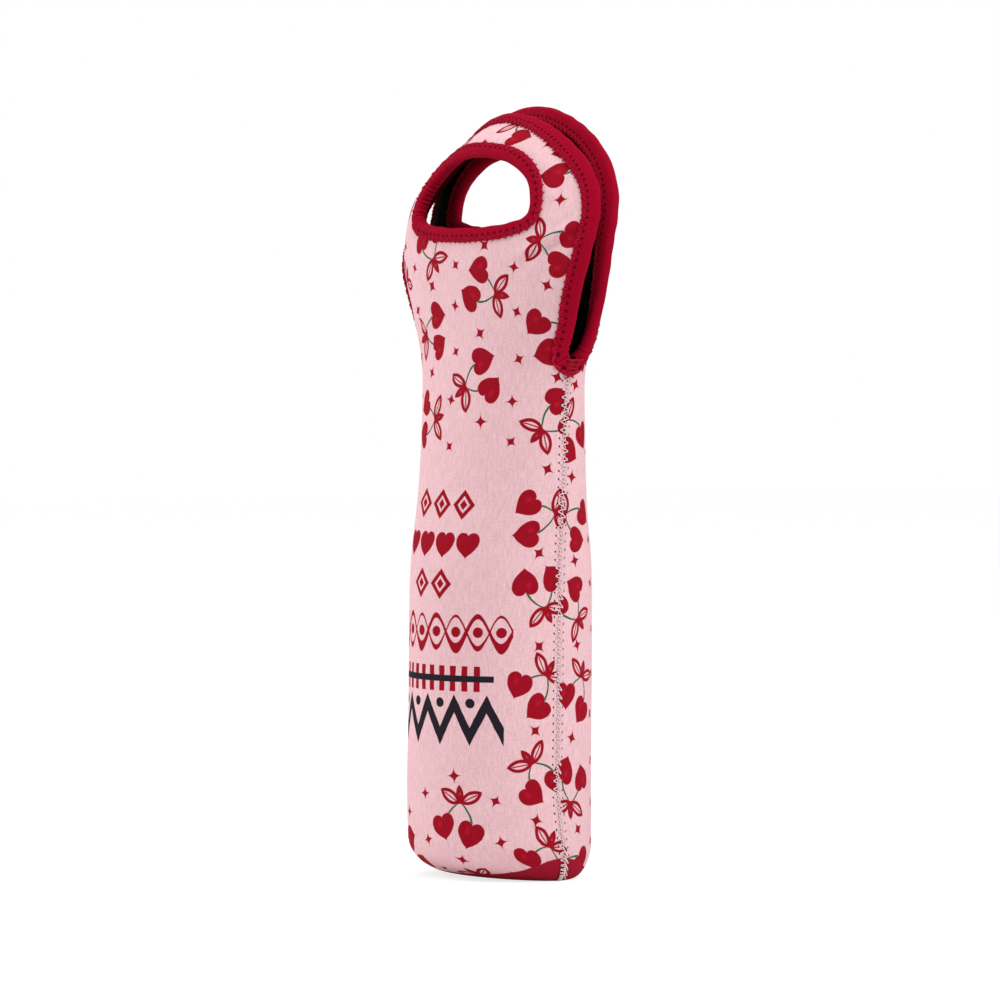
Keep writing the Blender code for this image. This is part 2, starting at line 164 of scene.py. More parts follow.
# Height share of the flap, half width to the flap's, centre and edge Y of the
# front and of the back to the body radius, and sweep to a right angle
FLAP_SHARES = (
    (0.095, 0.780, -0.665, -0.080, 0.590, 0.228, 0.93),
    (0.253, 0.884, -0.680, -0.186, 0.440, 0.222, 0.70),
    (0.378, 0.965, -0.712, -0.188, 0.290, 0.178, 0.58),
    (0.486, 1.000, -0.695, -0.145, 0.165, 0.170, 0.53),
    (0.610, 1.010, -0.622, -0.050, 0.095, 0.240, 0.50),
    (0.710, 1.015, -0.552, 0.110, 0.130, 0.365, 0.48),
    (0.794, 1.015, -0.510, 0.360, 0.220, 0.490, 0.46),
    (0.869, 1.015, -0.365, 0.670, 0.330, 0.590, 0.45),
    (0.930, 1.015, -0.130, 0.920, 0.410, 0.650, 0.45),
    (1.000, 1.015, 0.150, 1.180, 0.480, 0.700, 0.45),
)
# Height share of a flap's top and of its arch's start, and the arch's power
ARCH_SHARES = {Side.FRONT: (0.985, 0.590, 1.14), Side.BACK: (1.0, 0.560, 1.15)}
# A crease's panel, the height and place across of its middle, its slope and
# depth, then where it fades at its left and right, and its ridge and groove
CREASES = (
    (
        (Side.FRONT, 0.299, 0.050, 0.50, 0.0017),
        ((0.036, 0.048), (-0.074, -0.062), (0.0022, 0.0023), (-0.0016, 0.0023)),
    ),
    (
        (Side.FRONT, 0.262, -0.030, -0.55, 0.0006),
        ((-0.060, -0.045), (0.004, 0.022), (0.002, 0.0024), (-0.002, 0.0028)),
    ),
    (
        (Side.BACK, 0.285, 0.034, -0.40, 0.0007),
        ((0.008, 0.026), (-0.062, -0.048), (0.002, 0.0022), (-0.002, 0.0026)),
    ),
)
NOTCH_FADE_SHARE = 0.15
SEAM_CLEARANCE = 0.00005
TAPE_SPACING = 0.0009
HOLE_CORNER_SHARES = {Side.FRONT: 0.25, Side.BACK: 0.16}
HOLE_SIDE_SHARE = 0.91
HOLE_TOP_SHARE = 0.96
HOLE_FLOOR_SHARE = 0.80


def smooth(value: Array, low: float, high: float) -> Array:
    """Smooth step of a value from 0 at low to 1 at high."""
    part = np.clip((value - low) / (high - low), 0, 1)
    return part * part * (3 - 2 * part)


def bump(value: Array, centre: float, width: float) -> Array:
    """Bell curve of a value about a centre."""
    return np.exp(-(((value - centre) / width) ** 2))


def monotone(points: Sequence[tuple[float, float]], at: Array) -> Array:
    """Monotone cubic through (position, value) points.

    Args:
        points: The points, in rising order of position.
        at: Positions to read.

    Returns:
        The values there.
    """
    xs, ys = (np.array(column, float) for column in zip(*points))
    gaps = np.diff(xs)
    rises = np.diff(ys) / gaps
    slopes = np.zeros(len(xs))
    slopes[0], slopes[-1] = rises[0], rises[-1]
    for i in range(1, len(xs) - 1):
        if rises[i - 1] * rises[i] > 0:
            slopes[i] = 2 * rises[i - 1] * rises[i] / (rises[i - 1] + rises[i])
    i = np.clip(np.searchsorted(xs, at) - 1, 0, len(gaps) - 1)
    u = np.clip((at - xs[i]) / gaps[i], 0, 1)
    near = (2 * u**3 - 3 * u**2 + 1) * ys[i] + (u**3 - 2 * u**2 + u) * gaps[i] * slopes[i]
    far = (3 * u**2 - 2 * u**3) * ys[i + 1] + (u**3 - u**2) * gaps[i] * slopes[i + 1]
    return near + far


def read_rows(at: Array, xs: Array, ys: Array) -> Array:
    """Linear reading of each row of a table at its own position.

    Args:
        at: One position for each row.
        xs: Rising positions, a row for each.
        ys: Values at those positions.

    Returns:
        One value for each row.
    """
    i = np.clip((xs < at[:, None]).sum(1) - 1, 0, xs.shape[1] - 2)
    row = np.arange(len(at))
    low, high = xs[row, i], xs[row, i + 1]
    part = np.clip((at - low) / np.maximum(high - low, 1e-12), 0, 1)
    return ys[row, i] * (1 - part) + ys[row, i + 1] * part


def run_of(points: Array) -> Array:
    """Length along a line up to each of its points."""
    return np.concatenate([[0], np.cumsum(np.hypot(*np.diff(points, axis=0).T))])


def read_line(at: Array, lengths: Array, rows: Array) -> Array:
    """Rows of values along a line, read at some lengths along it."""
    return np.stack([np.interp(at, lengths, column) for column in rows.T], axis=-1)


def search_tree(places: Array) -> kdtree.KDTree:
    """Search tree of the flat places in a table's first two columns.

    Args:
        places: The table.

    Returns:
        The tree.
    """
    tree = kdtree.KDTree(len(places))
    for i, place in enumerate(places):
        tree.insert((place[0], place[1], 0), i)
    tree.balance()
    return tree


class Panel:
    """Outer surface of the front or back half of the sheet."""

    SAMPLES = 49
    BASE_STEPS = 120
    WALL_STEPS = 480
    EASED_REACH = 9.0
    NORMAL_STEP_SHARE = 0.012

    def __init__(self, sizes: SleeveSizes, side: Side) -> None:
        """Works out the panel's sections from the fold in the base to the top.

        Args:
            sizes: The sleeve's sizes.
            side: Which half this is.
        """
        self.sizes, self.side = sizes, side
        rim_depth = sizes.front_rim_depth if side is Side.FRONT else sizes.back_rim_depth
        self.base, base_half = sizes.radius - rim_depth, sizes.radius - sizes.side_rim_depth
        part = np.linspace(0, 1, self.BASE_STEPS)
        none, full, turn = 0 * part, 1 + 0 * part, part * math.pi / 2
        wall = np.linspace(sizes.rim_height, sizes.top, self.WALL_STEPS)
        width, centre, edge, sweep = (self.eased(monotone(table, wall)) for table in self._tables())
        half = sizes.base_fold / 2
        half = half + (base_half - half) * part
        drift = edge[0] + (sizes.seam_drift - edge[0]) * np.cos(turn)
        # The flat base, the quarter round of the rim and the wall
        columns = (
            (none, sizes.rim_height * (1 - np.cos(turn)), wall),
            (half, base_half + sizes.side_rim_depth * np.sin(turn), width),
            (self.base * part, self.base + rim_depth * np.sin(turn), -side.value * centre),
            (sizes.seam_drift * half / base_half, drift, edge),
            (1 - part**2, none, 0 * wall),
            (full, full, sweep),
        )
        self.z, self.half, depth, self.edge, self.straight, sweep = map(np.concatenate, columns)
        self.centre, self.sweep = -side.value * depth, sweep * math.pi / 2
        self.along = run_of(np.stack([self.centre, self.z], axis=1))
        self.wall_start = 2 * self.BASE_STEPS

    @classmethod
    def eased(cls, values: Array) -> Array:
        """Smooths values over their neighbours, with the two ends kept.

        Args:
            values: The values.

        Returns:
            The smoothed values.
        """
        pad = round(3 * cls.EASED_REACH)
        before = 2 * values[0] - values[pad:0:-1]
        after = 2 * values[-1] - values[-2 : -2 - pad : -1]
        weights = np.exp(-0.5 * (np.arange(-pad, pad + 1) / cls.EASED_REACH) ** 2)
        return np.convolve(np.concatenate([before, values, after]), weights / weights.sum(), "valid")

    def _tables(self) -> tuple[list[tuple[float, float]], ...]:
        """Reads the tables of shares for this panel.

        Returns:
            Half width, centre Y, edge Y and sweep, each against height.
        """
        sizes, sign = self.sizes, self.side.value
        rows = []
        for share, half, depth, drift in BODY_SHARES:
            z = sizes.rim_height + share * (sizes.notch - sizes.rim_height)
            rows.append((z, half * sizes.radius, -sign * depth * sizes.radius, drift * sizes.seam_drift, 1.0))
        for share, half, *ys, turn in FLAP_SHARES:
            z = sizes.notch + share * sizes.flap_height
            centre, edge = (y * sizes.radius for y in (ys[:2] if sign > 0 else ys[2:]))
            rows.append((z, half * sizes.flap_half, centre, edge, turn))
        return tuple([(row[0], row[i]) for row in rows] for i in range(1, 5))

    def along_at(self, z: Array | float) -> Array:
        """Length along the centre line at a height on the wall."""
        return np.interp(z, self.z[self.wall_start :], self.along[self.wall_start :])

    def curves(self, along: Array) -> tuple[Array, Array, Array, Array]:
        """Samples of the half sections at some lengths along.

        Args:
            along: The lengths.

        Returns:
            X, Y and length across, a row for each section, and the heights.
        """
        half, centre, edge, sweep, straight, z = (
            np.interp(along, self.along, column)[:, None]
            for column in (self.half, self.centre, self.edge, self.sweep, self.straight, self.z)
        )
        angle = np.linspace(0, 1, self.SAMPLES)[None] * sweep
        out = np.sin(angle) / np.sin(sweep)
        fall = (np.cos(angle) - np.cos(sweep)) / (1 - np.cos(sweep))
        x = half * out
        y = centre * fall + edge * (straight * out + (1 - straight) * (1 - fall))
        steps = np.hypot(np.diff(x, axis=1), np.diff(y, axis=1))
        length = np.concatenate([np.zeros((len(x), 1)), np.cumsum(steps, axis=1)], axis=1)
        return x, y, length, z[:, 0]

    def half_length(self, along: Array) -> Array:
        """Length from the centre line to the side of each section."""
        return self.curves(np.atleast_1d(along))[2][:, -1]

    def across_at_x(self, x: Array, along: Array) -> Array:
        """Flat places of the points at the given X and lengths along."""
        xs, _, length, _ = self.curves(along)
        return np.stack([read_rows(x, xs, length), along], axis=1)

    def points(self, across: Array, along: Array) -> Array:
        """Points of the outer surface at flat places of this panel."""
        xs, ys, length, z = self.curves(along)
        x = read_rows(abs(across), length, xs) * np.sign(across)
        return np.stack([x, read_rows(abs(across), length, ys), z], axis=1)

    def place(self, across: Array, along: Array) -> tuple[Array, Array]:
        """Points and outward normals of the outer surface.

        Args:
            across: Signed lengths across.
            along: Lengths along.

        Returns:
            The points and the normals.
        """
        step = self.NORMAL_STEP_SHARE * self.sizes.radius
        limit = self.half_length(along)
        low, high = np.maximum(-limit, across - step), np.minimum(limit, across + step)
        over = self.points(high, along) - self.points(low, along)
        reach = np.minimum(step, np.minimum(along - self.base, self.along[-1] - along))
        reach = np.maximum(reach, 0) + step * self.NORMAL_STEP_SHARE
        top = np.minimum(along + reach, self.along[-1])
        up = self.points(across, top) - self.points(across, along - reach)
        normal = np.cross(over, self.side.value * up)
        normal /= np.maximum(np.linalg.norm(normal, axis=1), 1e-12)[:, None]
        normal[along <= self.base] = 0, 0, -1
        return self.points(across, along), normal


class FlatCut:
    """The sheet before it was folded, and the lines that the tape follows."""

    FINE_SPACING = 0.0004
    BLEND_REACH = 0.012
    ROW_SHARE = 0.866
    CLEAR_SHARE = 0.62

    def __init__(self, sizes: SleeveSizes, spacing: float) -> None:
        """Works out the two panels.

        Args:
            sizes: The sleeve's sizes.
            spacing: Distance between the points of the cut.
        """
        self.sizes, self.spacing = sizes, spacing
        self.panels = {side: Panel(sizes, side) for side in Side}

    @staticmethod
    def resample(points: Array, spacing: float) -> Array:
        """Points at even spacing along a line, its two ends included."""
        length = run_of(points)
        count = max(1, round(length[-1] / spacing))
        return read_line(np.linspace(0, length[-1], count + 1), length, points)

    def flap_edge(self, side: Side, spacing: float) -> Array:
        """Right half of a flap's free edge, from the notch to the top.

        Args:
            side: The flap's panel.
            spacing: Distance between its points.

        Returns:
            The flat places.
        """
        sizes, panel, radius = self.sizes, self.panels[side], self.sizes.notch_radius
        top_share, start_share, power = ARCH_SHARES[side]
        top = sizes.notch + top_share * sizes.flap_height
        arch = sizes.notch + start_share * sizes.flap_height
        turn = np.linspace(0, math.pi / 2, 12)
        along = panel.along_at(sizes.notch) + radius * (1 - np.cos(turn))
        recess = SEAM_CLEARANCE + radius * np.sin(turn)
        bottom = np.stack([panel.half_length(along) - recess, along], axis=1)
        z = np.linspace(sizes.notch + radius, arch, 120)[1:]
        along = panel.along_at(z)
        recess = radius * (1 - smooth(z - sizes.notch - radius, 0, NOTCH_FADE_SHARE * sizes.flap_height))
        straight = np.stack([panel.half_length(along) - recess, along], axis=1)
        turn = np.linspace(0, math.pi / 2, 240)[1:]
        along = panel.along_at(arch + np.sin(turn) ** power * (top - arch))
        upper = panel.across_at_x(sizes.flap_half * abs(np.cos(turn)) ** power, along)
        # The two run into each other without a corner
        line = self.resample(np.concatenate([bottom, straight, upper]), self.FINE_SPACING)
        start = np.hypot(*(line - straight[-1]).T).argmin()
        away = (np.arange(len(line)) - start) * self.FINE_SPACING
        eased = np.stack([Panel.eased(column) for column in line.T], axis=1)
        line += bump(away, 0, self.BLEND_REACH)[:, None] * (eased - line)
        line = self.resample(line, spacing)
        line[-1, 0] = 0
        return line

    def hole_edge(self, side: Side, spacing: float) -> Array:
        """Right half of a handle hole, from its top to its sill.

        Args:
            side: The flap's panel.
            spacing: Distance between its points.

        Returns:
            The flat places.
        """
        sizes, panel = self.sizes, self.panels[side]
        top = sizes.height - sizes.hole_top_depth + sizes.fold
        sill = panel.along_at(top - sizes.hole_height - 2 * sizes.fold)
        rise = panel.along_at(top) - sill
        half = sizes.radius + sizes.flap_overhang - sizes.hole_side_margin + sizes.fold
        corner = HOLE_CORNER_SHARES[side] * rise
        turn = np.linspace(math.pi / 2, -math.pi / 2, 240)
        s = np.sin(turn)
        upper = sill + corner + (rise - corner) * abs(s) ** HOLE_TOP_SHARE
        lower = sill + corner - corner * abs(s) ** HOLE_FLOOR_SHARE
        line = panel.across_at_x(half * abs(np.cos(turn)) ** HOLE_SIDE_SHARE, np.where(s > 0, upper, lower))
        line = self.resample(line, spacing)
        line[0, 0] = line[-1, 0] = 0
        return line

    @staticmethod
    def inside(points: Array, loop: Array) -> Array:
        """Even-odd test of points against a closed loop.

        Args:
            points: The points.
            loop: The loop's corners.

        Returns:
            Whether each point is inside.
        """
        result = np.zeros(len(points), bool)
        x, y = points.T
        for (x0, y0), (x1, y1) in zip(loop, np.roll(loop, -1, axis=0)):
            if y0 != y1:
                cross = (x1 - x0) * (y - y0) / (y1 - y0) + x0
                result ^= ((y0 > y) != (y1 > y)) & (x < cross)
        return result

    def outline(self) -> Array:
        """Joins the lines of the cut's right half, half holes included.

        Returns:
            The closed outline.
        """
        halves = []
        for side, panel in self.panels.items():
            edge, hole = self.flap_edge(side, self.spacing), self.hole_edge(side, self.spacing)
            end = panel.along_at(self.sizes.notch)
            along = np.linspace(0, end, max(2, round(end / self.spacing)) + 1)[:-1]
            along = along[along < edge[0, 1] - self.spacing / 3]
            seam = np.stack([panel.half_length(along) - SEAM_CLEARANCE, along], axis=1)
            above, below = self._centre(edge[-1, 1], hole[0, 1]), self._centre(hole[-1, 1], 0)
            halves.append(np.concatenate([seam, edge, above, hole, below]))
        return np.concatenate([halves[0], [(0, 0)], halves[1][1:][::-1] * (1, -1)])

    def _centre(self, start: float, end: float) -> Array:
        """Points of the centre line strictly between two lengths along."""
        count = max(2, round(abs(start - end) / self.spacing))
        along = np.linspace(start, end, count + 1)[1:-1]
        return np.stack([0 * along, along], axis=1)

    def triangulate(self) -> tuple[Array, Array]:
        """Triangulates the whole cut, its left half the right one mirrored.

        Returns:
            The flat places and the triangles.
        """
        loop, step = self.outline(), self.spacing
        (_, low), (right, high) = loop.min(0), loop.max(0)
        rows = np.arange(low, high, step * self.ROW_SHARE)
        starts = [(j % 2 + 1) * step / 2 for j in range(len(rows))]
        grid = np.array([(x, y) for y, start in zip(rows, starts) for x in np.arange(start, right, step)])
        grid = grid[self.inside(grid, loop)]
        tree = search_tree(loop)
        clear = np.array([tree.find((*place, 0))[2] for place in grid]) > self.CLEAR_SHARE * step
        points = [Vector(place) for place in np.concatenate([loop, grid[clear]])]
        edges = [(i, (i + 1) % len(loop)) for i in range(len(loop))]
        found = geometry.delaunay_2d_cdt(points, edges, [], 0, 1e-7)
        flat, faces = (np.array([tuple(row) for row in found[i]]) for i in (0, 2))
        faces = faces[self.inside(flat[faces].mean(axis=1), loop)]
        middle = abs(flat[:, 0]) < 1e-7
        flat[middle, 0] = 0
        moved = np.where(middle, np.arange(len(flat)), len(flat) + np.cumsum(~middle) - 1)
        both = np.concatenate([faces, moved[faces][:, ::-1]])
        return np.concatenate([flat, flat[~middle] * (-1, 1)]), both


class TapeLine:
    """The edge that one tape is folded over, read by length along it."""

    def __init__(self, half: Array, side: Side, arm: float, closed: bool) -> None:
        """Joins the right half of an edge to its mirror image.

        Args:
            half: Right half of the edge, with positive lengths along.
            side: The panel that it is on.
            arm: How far its tape reaches over the sheet.
            closed: Whether the edge is the loop of a hole.
        """
        self.side, self.arm, self.closed = side, arm, closed
        self.places = np.concatenate([half, half[-2::-1] * (-1, 1)])
        travel = np.gradient(self.places, axis=0)
        travel[0] = travel[-1] = self.places[1] - self.places[-2] if closed else (-1, 0)
        travel /= np.hypot(*travel.T)[:, None]
        self.inward = np.stack([-travel[:, 1], travel[:, 0]], axis=1)
        self.at = run_of(self.places)
        self.length = float(self.at[-1])

    def flat(self, u: Array, depth: Array) -> Array:
        """Signed flat places beside the edge.

        Args:
            u: Lengths along the edge.
            depth: Depths in from it.

        Returns:
            The places.
        """
        u = np.asarray(u, float) % self.length if self.closed else np.asarray(u, float)
        base, turn = (read_line(u, self.at, rows) for rows in (self.places, self.inward))
        turn /= np.maximum(np.hypot(turn[..., 0], turn[..., 1]), 1e-9)[..., None]
        return (base + np.asarray(depth)[..., None] * turn) * (1, self.side.value)


class SleeveForm:
    """The worn surface that every layer, tape and stitch lies on."""

    CURL = 0.68
    CURL_REACH = 0.016
    CURL_HEIGHTS = (0.284, 0.308)
    CURL_SIDES = (0.018, 0.046)
    CURL_BELOW = 0.25
    CURL_INNER = 0.008
    FRONT_LEAN = 0.0048
    BACK_LEAN, BACK_CURL = 0.0011, 0.0060
    VALLEY, VALLEY_WIDTH = 0.00014, 0.0014
    SLACK = 0.00016
    DIP, PUCKER = 0.00035, 0.00012

    def __init__(self, cut: FlatCut, lines: dict[str, TapeLine]) -> None:
        """Indexes the taped edges, beside which the cloth is pinched.

        Args:
            cut: The cut, with its two panels.
            lines: The taped edges by name.
        """
        self.cut, self.sizes, self.panels, self.lines = cut, cut.sizes, cut.panels, lines
        places = []
        for line in lines.values():
            at = np.linspace(0, line.length, round(line.length / 0.001))
            places += [(*place, u, line.arm) for place, u in zip(line.flat(at, 0 * at), at)]
        self.marks = np.array(places)
        self.tree = search_tree(self.marks)
        line = lines["front_edge"]
        at = np.linspace(0, line.length, round(line.length / 0.0005))
        edge = line.flat(at, 0 * at)
        out = (edge - line.flat(at, 0 * at + 0.001)) / 0.001
        low, high = self.panels[Side.FRONT].along_at(np.array(self.CURL_HEIGHTS))
        turn = self.CURL * smooth(-edge[:, 0], *self.CURL_SIDES) * smooth(edge[:, 1], low, high)
        self.curled = np.column_stack([edge, out, turn])[edge[:, 0] < 0]
        self.curl_tree = search_tree(self.curled)

    def place(self, flat: Array) -> tuple[Array, Array]:
        """Points and outward normals of the worn surface.

        Args:
            flat: Signed flat places, a row for each.

        Returns:
            The points and the normals.
        """
        flat = np.atleast_2d(flat)
        points, normals = np.zeros((len(flat), 3)), np.zeros((len(flat), 3))
        relief = np.zeros(len(flat))
        for side, panel in self.panels.items():
            mine = (flat[:, 1] >= 0) == (side is Side.FRONT)
            if mine.any():
                across, along = flat[mine, 0], abs(flat[mine, 1])
                points[mine], normals[mine] = panel.place(across, along)
                points[mine, 1] += self._lean(side, points[mine])
                relief[mine] = self._relief(panel, across, along)
        relief += self._pinch(flat)
        self._curl(flat, points, normals)
        return points + relief[:, None] * normals, normals

    def _curl(self, flat: Array, points: Array, normals: Array) -> None:
        """Turns the front flap's left margin back.

        Args:
            flat: Signed flat places.
            points: Their points, changed in place.
            normals: Their normals, changed in place.
        """
        panel, reach = self.panels[Side.FRONT], self.CURL_REACH
        high = flat[:, 1] > panel.along_at(self.CURL_BELOW)
        near = np.nonzero(high & (flat[:, 0] < -self.CURL_INNER))[0]
        if not len(near):
            return
        found = [self.curl_tree.find((*flat[i], 0)) for i in near]
        part = np.clip(1 - np.array([f[2] for f in found]) / reach, 0, 1)[:, None]
        mark = self.curled[[f[1] for f in found]]
        inner = flat[near] - 0.0015 * mark[:, 2:4]
        normal, turn = normals[near], mark[:, 4:]
        out = panel.points(*flat[near].T) - panel.points(*inner.T)
        out -= (out * normal).sum(1)[:, None] * normal
        out /= np.maximum(np.linalg.norm(out, axis=1), 1e-9)[:, None]
        points[near] -= reach * turn * part**2 / 2 * normal + reach * turn**2 * part**3 / 6 * out
        normals[near] = np.cos(turn * part) * normal + np.sin(turn * part) * out

    def _lean(self, side: Side, points: Array) -> Array:
        """How far a flap's left shoulder leans back.

        Args:
            side: The flap's panel.
            points: Points of the upright surface.

        Returns:
            The lean of each point.
        """
        x, z = points[:, 0], points[:, 2]
        if side is Side.FRONT:
            return self.FRONT_LEAN * smooth(z, 0.318, 0.350) * smooth(-x, 0.0, 0.034)
        near = self.BACK_LEAN * smooth(-x, 0.025, 0.060)
        far = self.BACK_CURL * np.clip((-x - 0.057) / 0.013, 0, 1) ** 2
        return (near + far) * smooth(z, 0.285, 0.316) * smooth(-z, -0.345, -0.323)

    def _relief(self, panel: Panel, across: Array, along: Array) -> Array:
        """Height of the seam's valley, the cloth's slack and the soft creases.

        Args:
            panel: The panel that the places are on.
            across: Signed lengths across.
            along: Lengths along, without sign.

        Returns:
            The height over the form.
        """
        notch, sign = float(panel.along_at(self.sizes.notch)), panel.side.value
        edge = panel.half_length(along) - abs(across)
        height = -self.VALLEY * bump(edge, 0, self.VALLEY_WIDTH)
        height *= smooth(-along, -notch, -notch + 0.004)
        waves = np.sin(across / 0.0117 + 0.9) * np.sin(along / 0.0193 + 0.4 * sign)
        waves += 0.7 * np.sin(across / 0.0071 - along / 0.0231 + 1.3)
        waves += 0.5 * np.sin(along / 0.0096 + across / 0.0305 + sign)
        height += self.SLACK * smooth(along, panel.base + 0.012, panel.base + 0.05) * waves
        for (side, z, middle, slope, depth), (left, right, ridge, groove) in CREASES:
            if side is panel.side:
                off = along - panel.along_at(z) - slope * (across - middle)
                window = smooth(across, *left) * smooth(-across, *right)
                height += depth * window * (bump(off, *ridge) - bump(off, *groove))
        return height

    def _pinch(self, flat: Array) -> Array:
        """Height of the cloth that the tape's stitches pull down beside them.

        Args:
            flat: Signed flat places.

        Returns:
            The heights.
        """
        found = [self.tree.find((*place, 0)) for place in flat]
        u, arm = self.marks[[f[1] for f in found], 2:].T
        past = np.array([f[2] for f in found]) - arm
        gathers = np.sin(2 * math.pi * u / 0.0070 + 2 * np.sin(u / 0.013))
        return self.PUCKER * bump(past, 0, 0.0034) * gathers - self.DIP * bump(past, 0, 0.0018)


# Mesh building

FLOOR_CLEARANCE = 0.00002


def add_object(name: str, data: bpy.types.ID) -> bpy.types.Object:
    """Puts a mesh, curve, lamp or camera into the scene as an object.

    Args:
        name: The object's name.
        data: What it shows.

    Returns:
        The object.
    """
    obj = bpy.data.objects.new(name, data)
    bpy.context.scene.collection.objects.link(obj)
    return obj


def new_mesh(name: str, points: Array, faces: Array, uv: Array | None = None) -> bpy.types.Object:
    """Smooth shaded mesh object in the scene's collection.

    Args:
        name: The piece's name.
        points: Vertex positions.
        faces: Rows of vertex numbers.
        uv: A flat place for each face corner, in metres.

    Returns:
        The object.
    """
    mesh = bpy.data.meshes.new(name)
    mesh.from_pydata(points.tolist(), [], faces.tolist())
    if uv is not None:
        layer = mesh.uv_layers.new(name="cloth")
        layer.uv.foreach_set("vector", uv.astype(np.float32).ravel())
    mesh.polygons.foreach_set("use_smooth", [True] * len(mesh.polygons))
    mesh.update()
    return add_object(name, mesh)


def only(obj: bpy.types.Object) -> None:
    """Makes an object the only selected and the active one."""
    bpy.ops.object.select_all(action="DESELECT")
    obj.select_set(True)
    bpy.context.view_layer.objects.active = obj


def thicken(obj: bpy.types.Object, thickness: float, offset: float) -> None:
    """Gives an open surface its thickness and applies it.

    Args:
        obj: The surface's object.
        thickness: Its thickness.
        offset: Which way it grows, from -1 inwards to 1 outwards.
    """
    only(obj)
    solidify = obj.modifiers.new("Thickness", "SOLIDIFY")
    solidify.thickness = thickness
    solidify.offset = offset
    bpy.ops.object.modifier_apply(modifier=solidify.name)


def grid_faces(rows: int, columns: int, closed: bool) -> tuple[Array, Array]:
    """Quads of a grid of points, and each corner's row and column.

    Args:
        rows: Number of rows of points.
        columns: Number of points in a row.
        closed: Whether the last row joins the first.

    Returns:
        The quads, and the (row, column) of each quad's four corners, where the
        row isn't wrapped.
    """
    starts = [(k, i) for k in range(rows if closed else rows - 1) for i in range(columns - 1)]
    corners = np.array(starts)[:, None] + ((0, 0), (0, 1), (1, 1), (1, 0))
    return corners[..., 0] % rows * columns + corners[..., 1], corners


def stitches(name: str, paths: Array, radius: float) -> bpy.types.Object:
    """Round threads along many short paths, as one mesh.

    Args:
        name: The piece's name.
        paths: Positions, shaped (stitch, point, 3).
        radius: The thread's radius.

    Returns:
        The object.
    """
    curve = bpy.data.curves.new(name, "CURVE")
    curve.dimensions = "3D"
    curve.bevel_depth = radius
    curve.bevel_resolution = 1
    curve.use_fill_caps = True
    paths = np.array(paths)
    paths[..., 2] = np.maximum(paths[..., 2], 1.05 * radius)
    for path in paths:
        line = curve.splines.new("POLY")
        line.points.add(len(path) - 1)
        line.points.foreach_set("co", np.column_stack([path, np.ones(len(path))]).ravel())
    obj = add_object(name, curve)
    only(obj)
    bpy.ops.object.convert(target="MESH")
    bpy.ops.object.shade_smooth()
    return obj


def needle_marks(name: str, centres: Array, normals: Array, radius: Array) -> bpy.types.Object:
    """Small round needle holes, as one mesh of shallow cups that carry the holes' painted shade.

    Args:
        name: The piece's name.
        centres: Middle of each hole on the cloth.
        normals: Outward direction there.
        radius: The radius of each hole.

    Returns:
        The object.
    """
    count, sides = len(centres), 8
    tangent = np.cross(normals, (0.31, 0.17, 0.93))
    tangent /= np.linalg.norm(tangent, axis=1)[:, None]
    angle = (np.arange(sides) * 2 * math.pi / sides)[None, :, None]
    ring = np.cos(angle) * tangent[:, None] + np.sin(angle) * np.cross(normals, tangent)[:, None]
    radius = radius[:, None]
    rim = centres[:, None] + radius[..., None] * ring
    cap, sunk = centres + 0.35 * radius * normals, centres - 0.6 * radius * normals
    points = np.concatenate([rim, cap[:, None], sunk[:, None]], axis=1).reshape(-1, 3)
    points[:, 2] = np.maximum(points[:, 2], FLOOR_CLEARANCE)
    fan = [(i, (i + 1) % sides, sides) for i in range(sides)]
    under = [((i + 1) % sides, i, sides + 1) for i in range(sides)]
    starts = (np.arange(count) * (sides + 2))[:, None, None]
    return new_mesh(name, points, (np.array(fan + under)[None] + starts).reshape(-1, 3))


# Finishes


